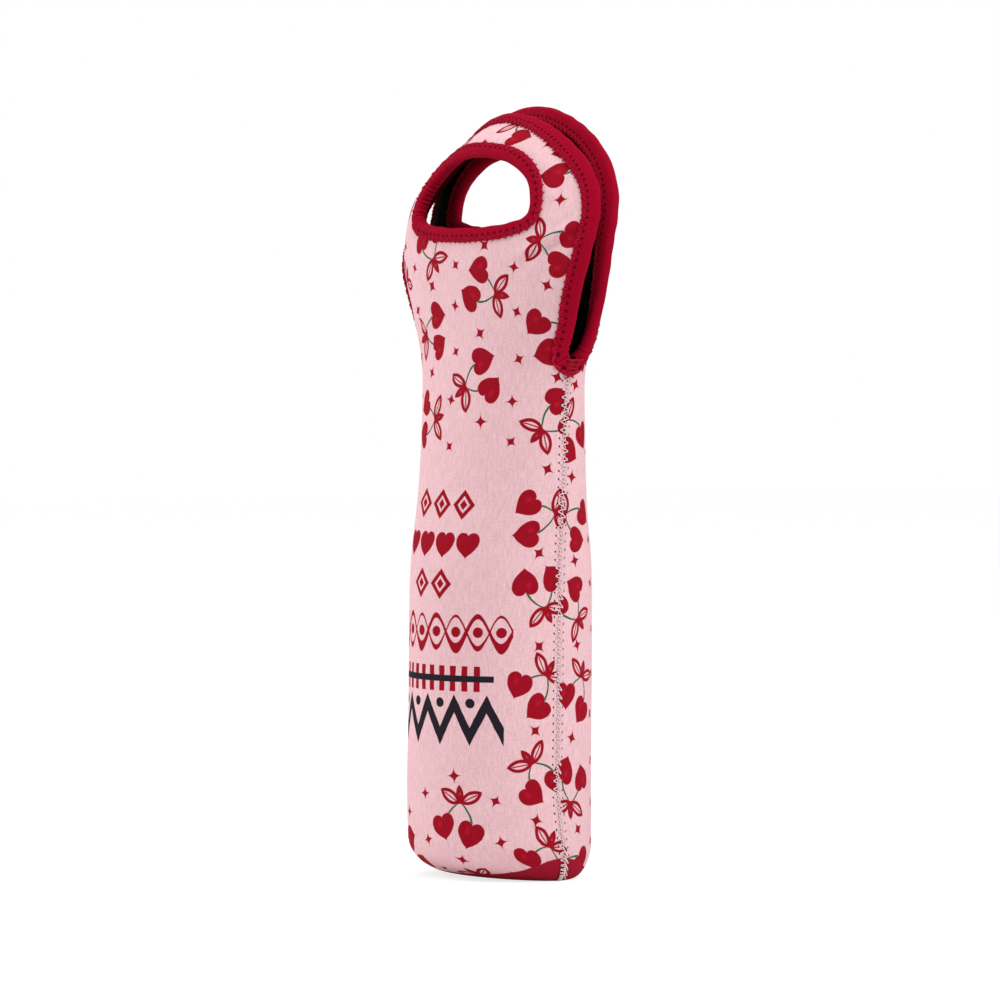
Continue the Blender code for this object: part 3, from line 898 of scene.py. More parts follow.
class Graph:
    """The node tree of one material, or of the world."""

    def __init__(self, name: str, kind: str = "materials") -> None:
        """Starts a material or a world of its own."""
        self.owner = getattr(bpy.data, kind).new(name)
        self.owner.use_nodes = True
        self.tree = self.owner.node_tree

    def node(self, kind: str, settings: dict[str, Any] | None = None, **inputs: Any) -> bpy.types.Node:
        """Adds a node.

        Args:
            kind: The node's type.
            settings: Its own settings, set before its sockets.
            **inputs: Values or links by socket, as i0, i1 or by a plain name.

        Returns:
            The node.
        """
        made = self.tree.nodes.new(kind)
        for key, value in (settings or {}).items():
            setattr(made, key, value)
        for key, value in inputs.items():
            self.feed(made.inputs[int(key[1:]) if key[1:].isdigit() else key], value)
        return made

    def feed(self, socket: bpy.types.NodeSocket, value: Any) -> None:
        """Links a value to a socket, or sets it there.

        Args:
            socket: The socket.
            value: A term, a socket or a plain value.
        """
        if isinstance(value, Term):
            value = value.socket
        if isinstance(value, bpy.types.NodeSocket):
            self.tree.links.new(value, socket)
        else:
            four = isinstance(value, tuple) and socket.type == "RGBA"
            socket.default_value = (*value[:3], 1) if four else value

    def mix(self, share: Any, low: Any, high: Any) -> bpy.types.NodeSocket:
        """Colour between two colours."""
        return self.node("ShaderNodeMix", {"data_type": "RGBA"}, i0=share, i6=low, i7=high).outputs[2]

    def split(self, vector: bpy.types.NodeSocket, kind: str = "XYZ") -> tuple["Term", ...]:
        """The three parts of a vector or colour."""
        return tuple(Term(self, part) for part in self.node("ShaderNodeSeparate" + kind, i0=vector).outputs)

    def place(self, flat: bool = True) -> bpy.types.NodeSocket:
        """Place on the piece's own flat cut, or in the object's own space."""
        if flat:
            return self.node("ShaderNodeUVMap", {"uv_map": "cloth"}).outputs[0]
        return self.node("ShaderNodeTexCoord").outputs["Object"]

    def cloth(self) -> tuple["Term", "Term"]:
        """Lengths across and along on the piece's own flat cut, in millimetres."""
        across, along, _ = self.split(self.place())
        return across * 1000, along * 1000

    def noise(self, scale: float, detail: float = 2.0, place: Any = None) -> "Term":
        """Soft noise, on the flat cut unless a place is given."""
        place = self.place() if place is None else place
        made = self.node("ShaderNodeTexNoise", Vector=place, Scale=scale, Detail=detail)
        return Term(self, made.outputs[0])

    def chance(self, first: "Term", second: "Term", seed: float) -> tuple["Term", ...]:
        """Three steady random numbers for a cell."""
        place = self.node("ShaderNodeCombineXYZ", i0=first, i1=second, i2=seed).outputs[0]
        made = self.node("ShaderNodeTexWhiteNoise", {"noise_dimensions": "3D"}, i0=place)
        return self.split(made.outputs[1], "Color")

    def relief(self, height: "Term", distance: float, strength: float, **under: Any) -> Any:
        """Normal of a bumpy surface, over the Normal given if any."""
        bump_node = self.node("ShaderNodeBump", Height=height, Distance=distance, Strength=strength, **under)
        return bump_node.outputs[0]

    def surface(self, shader: bpy.types.Node) -> None:
        """Shows a shader as the surface."""
        output = next(node for node in self.tree.nodes if node.type.startswith("OUTPUT"))
        self.tree.links.new(shader.outputs[0], output.inputs["Surface"])

    def seen(self) -> "Term":
        """Mask of the rays that reach the camera, mirrored and clear ones too."""
        path = self.node("ShaderNodeLightPath")
        words = ("Camera", "Glossy", "Transmission")
        camera, glossy, clear = (Term(self, path.outputs[f"Is {word} Ray"]) for word in words)
        return camera.most(glossy).most(clear)

    def finish(self, **sockets: Any) -> bpy.types.Material:
        """Sets or links sockets of the Principled shader.

        Args:
            **sockets: Values or links by the socket's name, with _ for a space.

        Returns:
            The material.
        """
        for key, value in sockets.items():
            self.feed(self.tree.nodes["Principled BSDF"].inputs[key.replace("_", " ")], value)
        return self.owner


def operation(kind: str) -> Callable[..., "Term"]:
    """Makes a method that adds one Math node to a term's tree.

    Args:
        kind: The node's operation.

    Returns:
        The method.
    """

    def method(term: "Term", *others: Any) -> "Term":
        """The result for this term and the other operands."""
        return term.math(kind, *others)

    return method


class Term:
    """A number in a node tree, so that shader maths is written as sums."""

    def __init__(self, graph: Graph, socket: bpy.types.NodeSocket) -> None:
        """Wraps a socket of a graph."""
        self.graph, self.socket = graph, socket

    def math(self, kind: str, *others: Any, clamp: bool = False) -> "Term":
        """Adds one Math node.

        Args:
            kind: The node's operation.
            *others: The operands after this one.
            clamp: Whether the result is held between 0 and 1.

        Returns:
            The result.
        """
        operands = {f"i{i}": value for i, value in enumerate((self, *others))}
        made = self.graph.node("ShaderNodeMath", {"operation": kind, "use_clamp": clamp}, **operands)
        return Term(self.graph, made.outputs[0])

    __add__ = __radd__ = operation("ADD")
    __sub__ = operation("SUBTRACT")
    __mul__ = __rmul__ = operation("MULTIPLY")
    __abs__ = operation("ABSOLUTE")
    floor = operation("FLOOR")
    fract = operation("FRACT")
    sin = operation("SINE")
    cos = operation("COSINE")
    root = operation("SQRT")
    most = operation("MAXIMUM")

    def __rsub__(self, other: Any) -> "Term":
        """Difference from a number."""
        return self.math("MULTIPLY_ADD", -1.0, other)

    def below(self, limit: float, soft: float) -> "Term":
        """Mask of where this is under a limit, with a soft edge."""
        return self.math("MULTIPLY_ADD", -1 / soft, limit / soft + 0.5, clamp=True)

    def above(self, limit: float, soft: float) -> "Term":
        """Mask of where this is over a limit, with a soft edge."""
        return self.math("MULTIPLY_ADD", 1 / soft, 0.5 - limit / soft, clamp=True)

    def within(self, low: float, high: float, soft: float) -> "Term":
        """Mask of where this is between two limits."""
        return self.above(low, soft) * self.below(high, soft)

    def cell(self, pitch: float, shift: float = 0.0) -> "Term":
        """Coordinate from the middle of the repeats of a row."""
        return ((self * (1 / pitch) + shift).fract() - 0.5) * pitch

    def wave(self, length: float) -> "Term":
        """Sine wave between 0 and 1."""
        return (self * (2 * math.pi / length)).sin() * 0.5 + 0.5


def turned(x: Term, y: Term, angle: Any) -> tuple[Term, Term]:
    """Coordinates turned by an angle.

    Args:
        x: Coordinate across.
        y: Coordinate along.
        angle: The angle, a number or a term.

    Returns:
        The two turned coordinates.
    """
    if isinstance(angle, Term):
        c, s = angle.cos(), angle.sin()
    else:
        c, s = math.cos(angle), math.sin(angle)
    return x * c + y * s, y * c - x * s


def knit(u: Term, v: Term, wale: float, course: float) -> tuple[Term, Term]:
    """Place across a wale from 0 to 1, and the wave of the courses it bends."""
    across = abs(u.cell(wale)) * (2 / wale)
    return across, (v + across * (0.5 * course)).wave(course)


def reach_of(x: Term, y: Term) -> Term:
    """Distance from the origin."""
    return (x * x + y * y).root()


Colour = tuple[float, float, float]


def shaded(colour: Colour, *factors: float) -> Colour:
    """Colour times one factor, or one for each channel, at most 1."""
    return tuple(min(1, c * f) for c, f in zip(colour, factors * 3))


@dataclass(frozen=True)
class Scatter:
    """Cells of a print, and the part of the front that they leave free.

    The lengths are in millimetres, and the moves are how far chance shifts a
    motif across and along and how far it turns it.
    """

    row: float
    seed: float
    moves: tuple[float, float, float]
    clear: tuple[float, float]
    clear_side: float
    shift: float = 0.0
    lift: float = 0.0
    turn: float = 0.0


@dataclass(frozen=True)
class PrintedKnit:
    """Fine stretch knit with a generic print of hearts on stems.

    The print's lengths are in millimetres on the flat cut.
    """

    ground: Colour = (0.830, 0.548, 0.580)
    ground_shade: Colour = (0.900, 0.830, 0.845)
    crimson: Colour = (0.312, 0.0030, 0.0135)
    bright: Colour = (0.480, 0.0060, 0.0280)
    stem: Colour = (0.012, 0.130, 0.058)
    navy: Colour = (0.0135, 0.0125, 0.0195)
    base: Colour = (0.335, 0.0075, 0.0240)
    # between is painted shade, laid along the knit's loops
    between: Colour = (0.16, 0.03, 0.04)
    column: float = 38.0
    course: float = 0.50
    wale: float = 0.56
    soft: float = 0.22
    swing: float = 22.5
    zigzag: float = 16.4
    sprigs: Scatter = Scatter(42.0, 3.0, (7.0, 6.0, 5.6), (80, 238), 30)
    sparks: Scatter = Scatter(42.0, 8.0, (5.0, 4.0, 1.5), (86, 232), 30, 0.0, 0.5, 0.75)
    fine_sparks: Scatter = Scatter(21.0, 5.0, (4.0, 4.0, 1.5), (90, 228), 44, 0.5, 0.0, 0.75)

    def heart(self, x: Term, y: Term, size: float) -> Term:
        """Mask of a heart of that half width, point down."""
        u, v = abs(x * (1 / size)), y * (1 / size)
        return reach_of(u, v * 1.12 - u.root() * 0.62 + 0.20).below(0.98, self.soft / size)

    def stroke(self, x: Term, y: Term, path: tuple[float, float, float], ends: tuple[float, float]) -> Term:
        """Mask of a curved stroke.

        Args:
            x: Coordinate across the stroke.
            y: Coordinate along it.
            path: X at its lower and upper end, and how far it bows between.
            ends: Y at its lower and upper end.

        Returns:
            The mask.
        """
        start, end, bend = path
        part = (y - ends[0]) * (1 / (ends[1] - ends[0]))
        path = part * (end - start) + start + part * (1 - part) * (4 * bend)
        return abs(x - path).below(0.54, self.soft) * y.within(*ends, self.soft)

    def leaf(self, x: Term, y: Term, angle: float, length: float, width: float) -> Term:
        """Mask of the outline and rib of a pointed leaf that starts at the origin.

        Args:
            x: Coordinate across the sprig.
            y: Coordinate along it.
            angle: The leaf's lean.
            length: Its length.
            width: Its half width.

        Returns:
            The mask.
        """
        a, b = turned(x, y, angle)
        half = length / 2
        radius = (half * half + width * width) / (2 * width)
        a = abs(a) + (radius - width)
        far = reach_of(a, b - half)
        outline = abs(far - (radius - 0.6)).below(0.82, self.soft)
        rib = (a - (radius - width)).below(0.32, self.soft) * b.within(1.0, length - 2.5, self.soft)
        return outline.most(rib) * far.below(radius + 0.4, self.soft)

    def sprig(self, x: Term, y: Term) -> tuple[Term, Term, Term]:
        """Masks of one sprig.

        Args:
            x: Coordinate across it.
            y: Coordinate along it.

        Returns:
            Its crimson, bright and green parts.
        """
        hearts, spots = [], []
        for place_x, place_y, angle, size in ((-7.4, -5.8, 0.34, 6.5), (6.6, -8.2, -0.22, 6.7)):
            a, b = turned(x - place_x, y - place_y, angle)
            hearts.append(self.heart(a, b, size))
            spot = reach_of((a + 0.26 * size) * 1.5, b - 0.30 * size).below(0.24 * size, 1.5)
            spots.append(spot * hearts[-1])
        crimson = hearts[0].most(hearts[1])
        for angle, length, width in ((1.12, 12.5, 2.9), (-1.02, 12.0, 2.8), (0.14, 8.5, 1.7)):
            crimson = crimson.most(self.leaf(x - 0.6, y - 6.6, angle, length, width))
        left = self.stroke(x, y, (-6.0, 0.4, -1.5), (-2.2, 7.2))
        right = self.stroke(x, y, (7.2, 0.8, 1.9), (-4.4, 7.2))
        return crimson, spots[0].most(spots[1]), left.most(right) * (1 - crimson)

    def spark(self, x: Term, y: Term, size: float) -> Term:
        """Mask of a small four pointed spark."""
        return (abs(x).root() + abs(y).root()).below(math.sqrt(size), 0.16)

    def ornament(self, x: Term, y: Term) -> tuple[Term, Term]:
        """Masks of the front's ornament.

        Args:
            x: Length across.
            y: Height on the sleeve.

        Returns:
            Its crimson and navy parts.
        """
        far = abs(x)

        def band(low: float, high: float, half: float) -> Term:
            """Mask of one row of the ornament."""
            return y.within(low, high, self.soft) * far.below(half, self.soft)

        crimson = self.heart(x.cell(13.4), y - 159.5, 6.3) * band(151, 168, 26.8)
        for centre, half, shift in ((179.0, 21.9, 0.5), (141.0, 14.6, 0.0)):
            diamond = abs(x.cell(14.6, shift)) * 1.12 + abs(y - centre)
            shape = abs(diamond - 5.7).below(1.55, self.soft).most(diamond.below(2.5, self.soft))
            crimson = crimson.most(shape * band(centre - 8, centre + 8, half))
        turn = x * (2 * math.pi / self.swing)
        for way, stout in ((1, 1.9), (-1, 1.0)):
            thick = (turn + 1.2 * way).cos() * (0.35 * stout) + stout
            line = (abs(y - 118.5 - turn.sin() * (7.6 * way)) - thick).below(0, self.soft)
            crimson = crimson.most(line * band(107, 130, 45.0))
        eyes = reach_of(x.cell(self.swing / 2), y - 118.5).below(2.5, self.soft) * band(112, 125, 45.0)
        bars = abs(x.cell(6.2)).below(1.55, self.soft) * band(90.5, 102.5, 31.0)
        peaks = abs(x.cell(self.zigzag)) * 1.9 - 7.79
        navy = abs(y - 77.0 - peaks).below(4.3, self.soft) * band(64.5, 89.5, 41.0)
        pips = reach_of(x.cell(self.zigzag), y - 85.0).below(2.3, self.soft) * band(76, 90, 36.0)
        rule = abs(y - 96.5).below(1.5, self.soft) * band(90, 103, 36.0)
        return crimson.most(eyes).most(bars), navy.most(pips).most(rule)

    def scattered(self, graph: Graph, x: Term, y: Term, cells: Scatter) -> tuple[Term, Term, Term]:
        """Coordinates inside scattered cells.

        Args:
            graph: The material's graph.
            x: Length across.
            y: Signed length along.
            cells: The cells.

        Returns:
            The motif's own coordinates, and the mask of the cells that hold one.
        """
        # Every other column of the tall cells stands half a row higher
        across, tall = x * (1 / self.column) + cells.shift, y * (1 / cells.row)
        lift = (across.floor() * 0.5).fract() + cells.lift if cells.shift == 0 else 0.0
        tall = tall + lift
        chance = graph.chance(across.floor(), tall.floor(), cells.seed)
        a, b, turn = ((value - 0.5) * move for value, move in zip(chance, cells.moves))
        a = (across.fract() - 0.5) * self.column + a
        b = (tall.fract() - 0.5) * cells.row + b
        middle = (tall.floor() + 0.5 - lift) * cells.row
        side = abs((across.floor() + 0.5 - cells.shift) * self.column)
        free = 1 - middle.within(*cells.clear, 0.5) * side.below(cells.clear_side, 0.5)
        return *turned(a, b, turn + cells.turn), free

    def dress(self) -> bpy.types.Material:
        """Draws the print and the knit.

        Returns:
            The material.
        """
        graph = Graph("printed_knit")
        u, v = graph.cloth()
        wobble = graph.noise(160, 2)
        x, y = u + (wobble - 0.5) * 0.9, v + (graph.noise(140, 2) - 0.5) * 0.9
        # The print, drawn a little unevenly
        *place, free = self.scattered(graph, x, y, self.sprigs)
        crimson, bright, green = (mask * free for mask in self.sprig(*place))
        for cells, size in ((self.sparks, 4.5), (self.fine_sparks, 4.0)):
            *place, free = self.scattered(graph, x, y, cells)
            crimson = crimson.most(self.spark(*place, size) * free)
        front = v.above(0, 1.0)
        motif, navy = (mask * front for mask in self.ornament(x, abs(v) + front * 3.5 - 36.6))
        crimson = crimson.most(motif)
        # Ink over the heathered ground
        across, along, _ = graph.split(graph.place())
        streaks = graph.node("ShaderNodeCombineXYZ", i0=across * 1500, i1=along * 170).outputs[0]
        heather = graph.noise(1.0, 2, streaks) * 0.5 + graph.noise(1000, 3) * 0.5
        shade = graph.noise(55, 3) * 0.5 + (heather - 0.5) * 4.4 + 0.25
        ground = graph.mix(shade, shaded(self.ground, *self.ground_shade), shaded(self.ground, 1.06))
        ink = graph.mix(graph.noise(420, 3), shaded(self.crimson, 0.82), shaded(self.crimson, 1.24))
        colour = graph.mix(crimson, ground, graph.mix(bright * 0.8, ink, self.bright))
        colour = graph.mix(green, colour, self.stem)
        colour = graph.mix(navy, colour, self.navy)
        # The base, its upper line rising towards the sides
        across, _, height = graph.split(graph.place(flat=False))
        bow = across * (1 / 0.0438)
        bow = bow * bow
        line = bow * 0.0025 + bow * bow * bow * bow * 0.0067 + (wobble - 0.5) * 0.0005
        colour = graph.mix((height - 0.0030 - line).below(0, 0.0003), colour, self.base)
        # Courses and wales of the knit, drawn in painted shade as well as in bumps
        wale, course = knit(u, v, self.wale, self.course)
        loop = course * (1 - wale * wale * 0.6)
        colour = graph.mix(loop * 0.09, colour, self.between)
        normal = graph.relief(loop, 0.00010, 0.6)
        normal = graph.relief(graph.noise(900, 2), 0.00014, 0.4, Normal=normal)
        return graph.finish(
            Base_Color=colour, Roughness=0.90 - loop * 0.06, Normal=normal, Specular_IOR_Level=0.06
        )


@dataclass(frozen=True)
class LiningKnit:
    """Black knit on the sleeve's inside, with its loops in millimetres and a painted highlight on them."""

    colour: Colour = (0.0022, 0.0021, 0.0022)
    # light is a painted highlight on the knit's loops
    light: Colour = (0.0060, 0.0056, 0.0060)
    wale: float = 0.7
    course: float = 0.6

    def dress(self) -> bpy.types.Material:
        """Draws the knit, its loops with a painted highlight.

        Returns:
            The material.
        """
        graph = Graph("lining_knit")
        _, loop = knit(*graph.cloth(), self.wale, self.course)
        # Painted highlight on the raised loops, with random tone from the noise
        colour = graph.mix(loop * 0.5 + graph.noise(200, 2) * 0.3, self.colour, self.light)
        normal = graph.relief(loop, 0.0001, 0.6)
        return graph.finish(Base_Color=colour, Roughness=0.92, Normal=normal, Specular_IOR_Level=0.03)


@dataclass(frozen=True)
class FoamCells:
    """Dark closed cell foam between the two knits, its cells' hollows in painted shade."""

    colour: Colour = (0.028, 0.028, 0.029)
    # colour is painted shade in the cells' hollows, light the foam on the cell walls
    light: Colour = (0.055, 0.054, 0.055)

    def dress(self) -> bpy.types.Material:
        """Draws the cells, their hollows in painted shade.

        Returns:
            The material.
        """
        graph = Graph("foam_cells")
        cells = graph.node("ShaderNodeTexVoronoi", Vector=graph.place(flat=False), Scale=2400.0)
        depth = Term(graph, cells.outputs["Distance"])
        # Painted shade: darker towards the middle of each cell, where the bumps sink
        colour, normal = graph.mix(depth, self.colour, self.light), graph.relief(depth, 0.0001, 0.7)
        return graph.finish(Base_Color=colour, Roughness=0.9, Normal=normal)


@dataclass(frozen=True)
class RibbedTape:
    """Crimson rib knit tape, its ribs square to the edge, roughened by its seam, drawn in painted light and
    shade.

    The lengths are in millimetres, and arm is how far it reaches over the sheet.
    """

    name: str
    arm: float
    colour: Colour = (0.520, 0.0016, 0.0290)
    # shade is painted shade in the rib grooves and among the seam's lumps
    shade: Colour = (0.150, 0.0003, 0.0060)
    # light is a painted highlight on the seam's thread
    light: Colour = (0.640, 0.0140, 0.0700)
    # dark is painted shade in the seam's needle holes
    dark: Colour = (0.030, 0.0004, 0.0020)
    rib: float = 0.72
    purl: float = 0.55
    wrap: float = 6.13
    stitch: float = 3.5
    needle: float = 2.4

    def dress(self) -> bpy.types.Material:
        """Draws the ribs and the roughened seam, with painted light and shade.

        Returns:
            The material.
        """
        graph = Graph(self.name)
        u, v = graph.cloth()
        inset = self.arm + self.wrap / 2 - abs(v - self.wrap / 2)
        rib = (u + (graph.noise(120, 2) - 0.5) * 0.7).wave(self.rib)
        step = (u * (math.pi / self.rib)).floor() * (1.7 * self.purl / (2 * math.pi))
        weave = rib * 0.8 + (v + step).wave(self.purl) * 0.2
        # The zigzag seam's thread, its needle holes and the rough cloth between, in painted light and shade
        rough = graph.noise(760, 2) - 0.5
        phase = abs((u * (1 / self.stitch) + rough * 0.22).cell(1.0)) * 2
        path = (1 - phase) * (self.needle + 0.2) - 0.2
        zone = inset.below(self.needle + 0.1, 0.6)
        thread = abs(inset - path + (graph.noise(500, 1) - 0.5) * 0.9).below(0.50, 0.5) * zone
        hole = (inset - (self.needle + 0.15)) * 0.8
        dot = reach_of(phase * (self.stitch / 2), hole).below(0.72, 0.5)
        seam_lumps = (graph.noise(1050, 3) - 0.5).math("MULTIPLY_ADD", 3.2, 0.5, clamp=True)
        # Painted shade in the grooves between the ribs, with the tape's crimson on their tops
        colour = graph.mix(weave, self.shade, self.colour)
        colour = graph.mix(graph.noise(260, 3) * 0.35, colour, shaded(self.colour, 0.6))
        # Painted light and shade on the seam's lumps, which also rise in the bumps
        colour = graph.mix(zone * 0.65, colour, graph.mix(seam_lumps, self.shade, self.colour))
        # Painted highlight along the seam's thread
        colour = graph.mix(thread * 0.55, colour, self.light)
        # Painted shade in the needle holes
        colour = graph.mix(dot * 0.9, colour, self.dark)
        height = weave * (1 - zone * 0.6) + zone * seam_lumps * 0.9 + thread * 1.4 - dot * 2.0
        normal = graph.relief(height, 0.00018, 0.9)
        normal = graph.relief(graph.noise(330, 3), 0.0003, 0.4, Normal=normal)
        return graph.finish(Base_Color=colour, Roughness=0.9, Normal=normal, Specular_IOR_Level=0.05)


@dataclass(frozen=True)
class SpunThread:
    """Two ply sewing thread of one colour, with painted shade in the twist of its plies."""

    name: str
    colour: Colour
    # shade is painted shade in the twist between the plies
    shade: Colour
    lay: float = 0.0007

    def dress(self) -> bpy.types.Material:
        """Draws the plies, with painted shade between them.

        Returns:
            The material.
        """
        graph = Graph(self.name)
        place = graph.place(flat=False)
        x, y, z = graph.split(place)
        ply = (x + y * 0.8 + z * 0.9).wave(self.lay)
        # Painted shade along the plies, with random tone from the noise
        colour = graph.mix(ply * 0.6 + graph.noise(700, 2, place) * 0.3, self.colour, self.shade)
        normal = graph.relief(ply, 0.00008, 0.6)
        return graph.finish(Base_Color=colour, Roughness=0.75, Normal=normal, Specular_IOR_Level=0.15)


@dataclass(frozen=True)
class NeedleShadow:
    """The dark inside of a needle hole."""

    name: str
    colour: Colour
    fleck: Colour

    def dress(self) -> bpy.types.Material:
        """The material."""
        graph = Graph(self.name)
        colour = graph.mix(graph.noise(3000, 1, graph.place(flat=False)), self.colour, self.fleck)
        return graph.finish(Base_Color=colour, Roughness=0.95, Specular_IOR_Level=0.03)


# Sub-assemblies

# A piece, its finish, its material slot and the solid that it replaces, if any
Made = tuple[bpy.types.Object, str, str, str]


@dataclass
class SubAssembly:
    """Pieces that are made, dressed and attached together."""

    form: SleeveForm

    def pieces(self) -> Iterator[Made]:
        """Makes the pieces one by one."""
        raise NotImplementedError

    def build(self, finishes: dict[str, bpy.types.Material]) -> None:
        """Args:
            finishes: Materials by name.
        """
        for piece, finish, slot, node in self.pieces():
            piece.data.materials.append(finishes[finish])
            if node:
                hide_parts(node)
            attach(piece, "root")
            LOG.info("%s: %d triangles", piece.name, sum(len(p.vertices) - 2 for p in piece.data.polygons))


@dataclass
class Laminate(SubAssembly):
    """The printed knit, the foam and the lining, one closed sheet each."""

    def pieces(self) -> Iterator[Made]:
        """Makes the three layers from the outside in.

        Returns:
            Each layer in turn.
        """
        sizes = self.form.sizes
        flat, faces = self.form.cut.triangulate()
        points, _ = self.form.place(flat)
        edges = flat[faces][:, 1:] - flat[faces][:, :1]
        area = float(abs(edges[:, 0, 0] * edges[:, 1, 1] - edges[:, 0, 1] * edges[:, 1, 0]).sum() / 2)
        spread = tuple(float(length) for length in np.ptp(flat, axis=0))
        LOG.info("flat cut %.4f x %.4f m, %.4f m2", *spread, area)
        depth = 0.0
        for name, node, thickness, slot in (
            ("printed_jersey_cloth", "outer_jersey", sizes.jersey, "printed_jersey"),
            ("foam_sheet", "foam_core", sizes.foam, "foam"),
            ("lining_cloth", "lining_jersey", sizes.jersey, "lining"),
        ):
            piece = new_mesh(name, points, faces, flat[faces].reshape(-1, 2))
            thicken(piece, thickness, -1 - 2 * depth / thickness)
            yield piece, slot, slot, node
            depth += thickness + sizes.gap


@dataclass
class EdgeTape(SubAssembly):
    """Ribbed tape folded over one edge, with its zigzag stitches."""

    # Share of the way along one stitch, and its height over the tape
    STITCH: ClassVar[tuple] = (
        (0.0, -0.0003), (0.13, 0.00016), (0.42, 0.00026), (0.78, 0.00022), (0.93, 0.0001), (1.0, -0.0003)
    )
    ARM_STEPS: ClassVar[int] = 9
    FOLD_STEPS: ClassVar[int] = 9

    word: str
    pitch: float = 0.0035
    needle_row: float = 0.0024
    past_edge: float = 0.00040
    thread_radius: float = 0.00022
    spacing: float = 0.0006
    corner: float = 0.0060
    scallop: float = 0.00016
    slub_height: float = 0.00007
    puff: float = 0.00030
    dimple: float = 0.00022
    gather_ridge: float = 0.00036
    clearance: float = 0.00012
    hole_radii: tuple[float, float] = (0.00050, 0.00036)

    def __post_init__(self) -> None:
        """Reads the edge and fits whole stitches to it."""
        self.line, self.sizes = self.form.lines[self.word], self.form.sizes
        self.count = round(self.line.length / self.pitch)
        self.step = self.line.length / self.count
        self.wrap = self.sizes.stack / 2 + self.sizes.gap

    def gather(self, u: Array) -> Array:
        """How strongly the tape is gathered where the edge turns sharply.

        Args:
            u: Lengths along the edge.

        Returns:
            Strengths from 0 to 1.
        """
        if not self.line.closed:
            return bump(np.minimum(u, self.line.length - u), 0, 0.010)
        if self.line.side is Side.BACK:
            return 0 * u
        across = -self.line.flat(u, 0 * u)[:, 0]
        uneven = 0.75 + 0.25 * np.sin(u / 0.0019 + 2.5 * np.sin(u / 0.0061))
        return smooth(across, 0.60 * across.max(), 0.98 * across.max()) * uneven

    def rope(self, u: Array, depth: Array) -> Array:
        """Run of the gathers, from -1 in a fold to 1 on its back."""
        return np.sin(2 * math.pi * u / 0.0027 + 1.6 * np.sin(u / 0.0053) + depth / 0.004)

    def slub(self, u: Array) -> Array:
        """Slow unevenness of the tape's fold."""
        return self.slub_height * np.sin(u / 0.0023 + 2 * np.sin(u / 0.011))

    def lift(self, u: Array, depth: Array) -> Array:
        """Height of the tape's under side over the cloth.

        Args:
            u: Lengths along the edge.
            depth: Depths in from it.

        Returns:
            The heights.
        """
        arm = self.line.arm
        part = np.clip(depth / arm, 0, 1)
        puff = self.puff * np.sin(math.pi * (1 - part) ** 0.7)
        phase = u / self.step
        row = bump(depth, arm - self.needle_row, 0.0009)
        dimple = self.dimple * row * bump((phase - np.floor(phase) - 0.5) * self.step, 0, 0.0008)
        gathers = self.gather(u) * (self.puff + self.gather_ridge * self.rope(u, depth))
        gathers = gathers * smooth(arm - depth, 0, 0.002)
        return self.clearance + puff - dimple + gathers + self.slub(u) * (1 - part)

    def spots(self, u: Array, depth: Array, height: Array, face: Face) -> Array:
        """Points over a face of the sheet.

        Args:
            u: Lengths along the edge.
            depth: Depths in from it.
            height: Heights over the face.
            face: The face.

        Returns:
            The points.
        """
        points, normals = self.form.place(self.line.flat(u, depth))
        below = 0 if face is Face.OUTSIDE else self.sizes.stack
        return points + (face.value * height - below)[:, None] * normals

    def shell(self) -> bpy.types.Object:
        """Makes the tape itself, an open fold given its thickness.

        Returns:
            The object.
        """
        line, open_end = self.line, not self.line.closed
        rows = round(line.length / self.spacing)
        u = np.linspace(0, line.length, rows + open_end, endpoint=open_end)
        scallop = self.scallop * np.cos(2 * math.pi * u / self.step) + 0.00010 * np.sin(u / 0.0031)
        depths = [share * (line.arm + scallop) for share in np.linspace(0, 1, self.ARM_STEPS)]
        outside, inside = ([self.spots(u, d, self.lift(u, d), face) for d in depths] for face in Face)
        turns = np.linspace(0, math.pi, self.FOLD_STEPS + 2)[1:-1]
        points = np.stack(outside[::-1] + self.fold(u, turns) + inside, axis=1)
        across = [-d for d in depths[::-1]] + [0 * u + turn * self.wrap for turn in turns]
        across = np.stack(across + [d + math.pi * self.wrap for d in depths], axis=1)
        faces, corners = grid_faces(len(u), points.shape[1], line.closed)
        row, column = corners[..., 0], corners[..., 1]
        lengths = np.append(u, line.length) * (self.pitch / self.step)
        uv = np.stack([lengths[row], across[row % len(u), column]], axis=-1)
        if line.side is Side.BACK:
            faces, uv = faces[:, ::-1], uv[:, ::-1]
        piece = new_mesh(self.word + "_tape", points.reshape(-1, 3), faces, uv.reshape(-1, 2))
        thicken(piece, self.sizes.tape, 1)
        return piece

    def fold(self, u: Array, turns: Array) -> list[Array]:
        """The round of the fold beyond the sheet's edge.

        Args:
            u: Lengths along the edge.
            turns: Angles from the outside round to the inside.

        Returns:
            The points at each angle.
        """
        zero = 0 * u
        edge, normal = self.form.place(self.line.flat(u, zero))
        out = edge - self.form.place(self.line.flat(u, zero + 0.0006))[0]
        out -= (out * normal).sum(1)[:, None] * normal
        out /= np.linalg.norm(out, axis=1)[:, None]
        centre = edge - normal * self.sizes.stack / 2
        radius = self.sizes.stack / 2 + self.lift(u, zero)
        swell = self.gather(u) * self.puff * self.rope(u, zero) + self.slub(u)
        return [
            centre + (radius + swell * math.sin(t))[:, None] * (math.cos(t) * normal + math.sin(t) * out)
            for t in turns
        ]

    def clear(self, low: Array, high: Array) -> Array:
        """Mask of the spans that keep away from the ends of an open edge."""
        return self.line.closed | ((low > self.corner) & (high < self.line.length - self.corner))

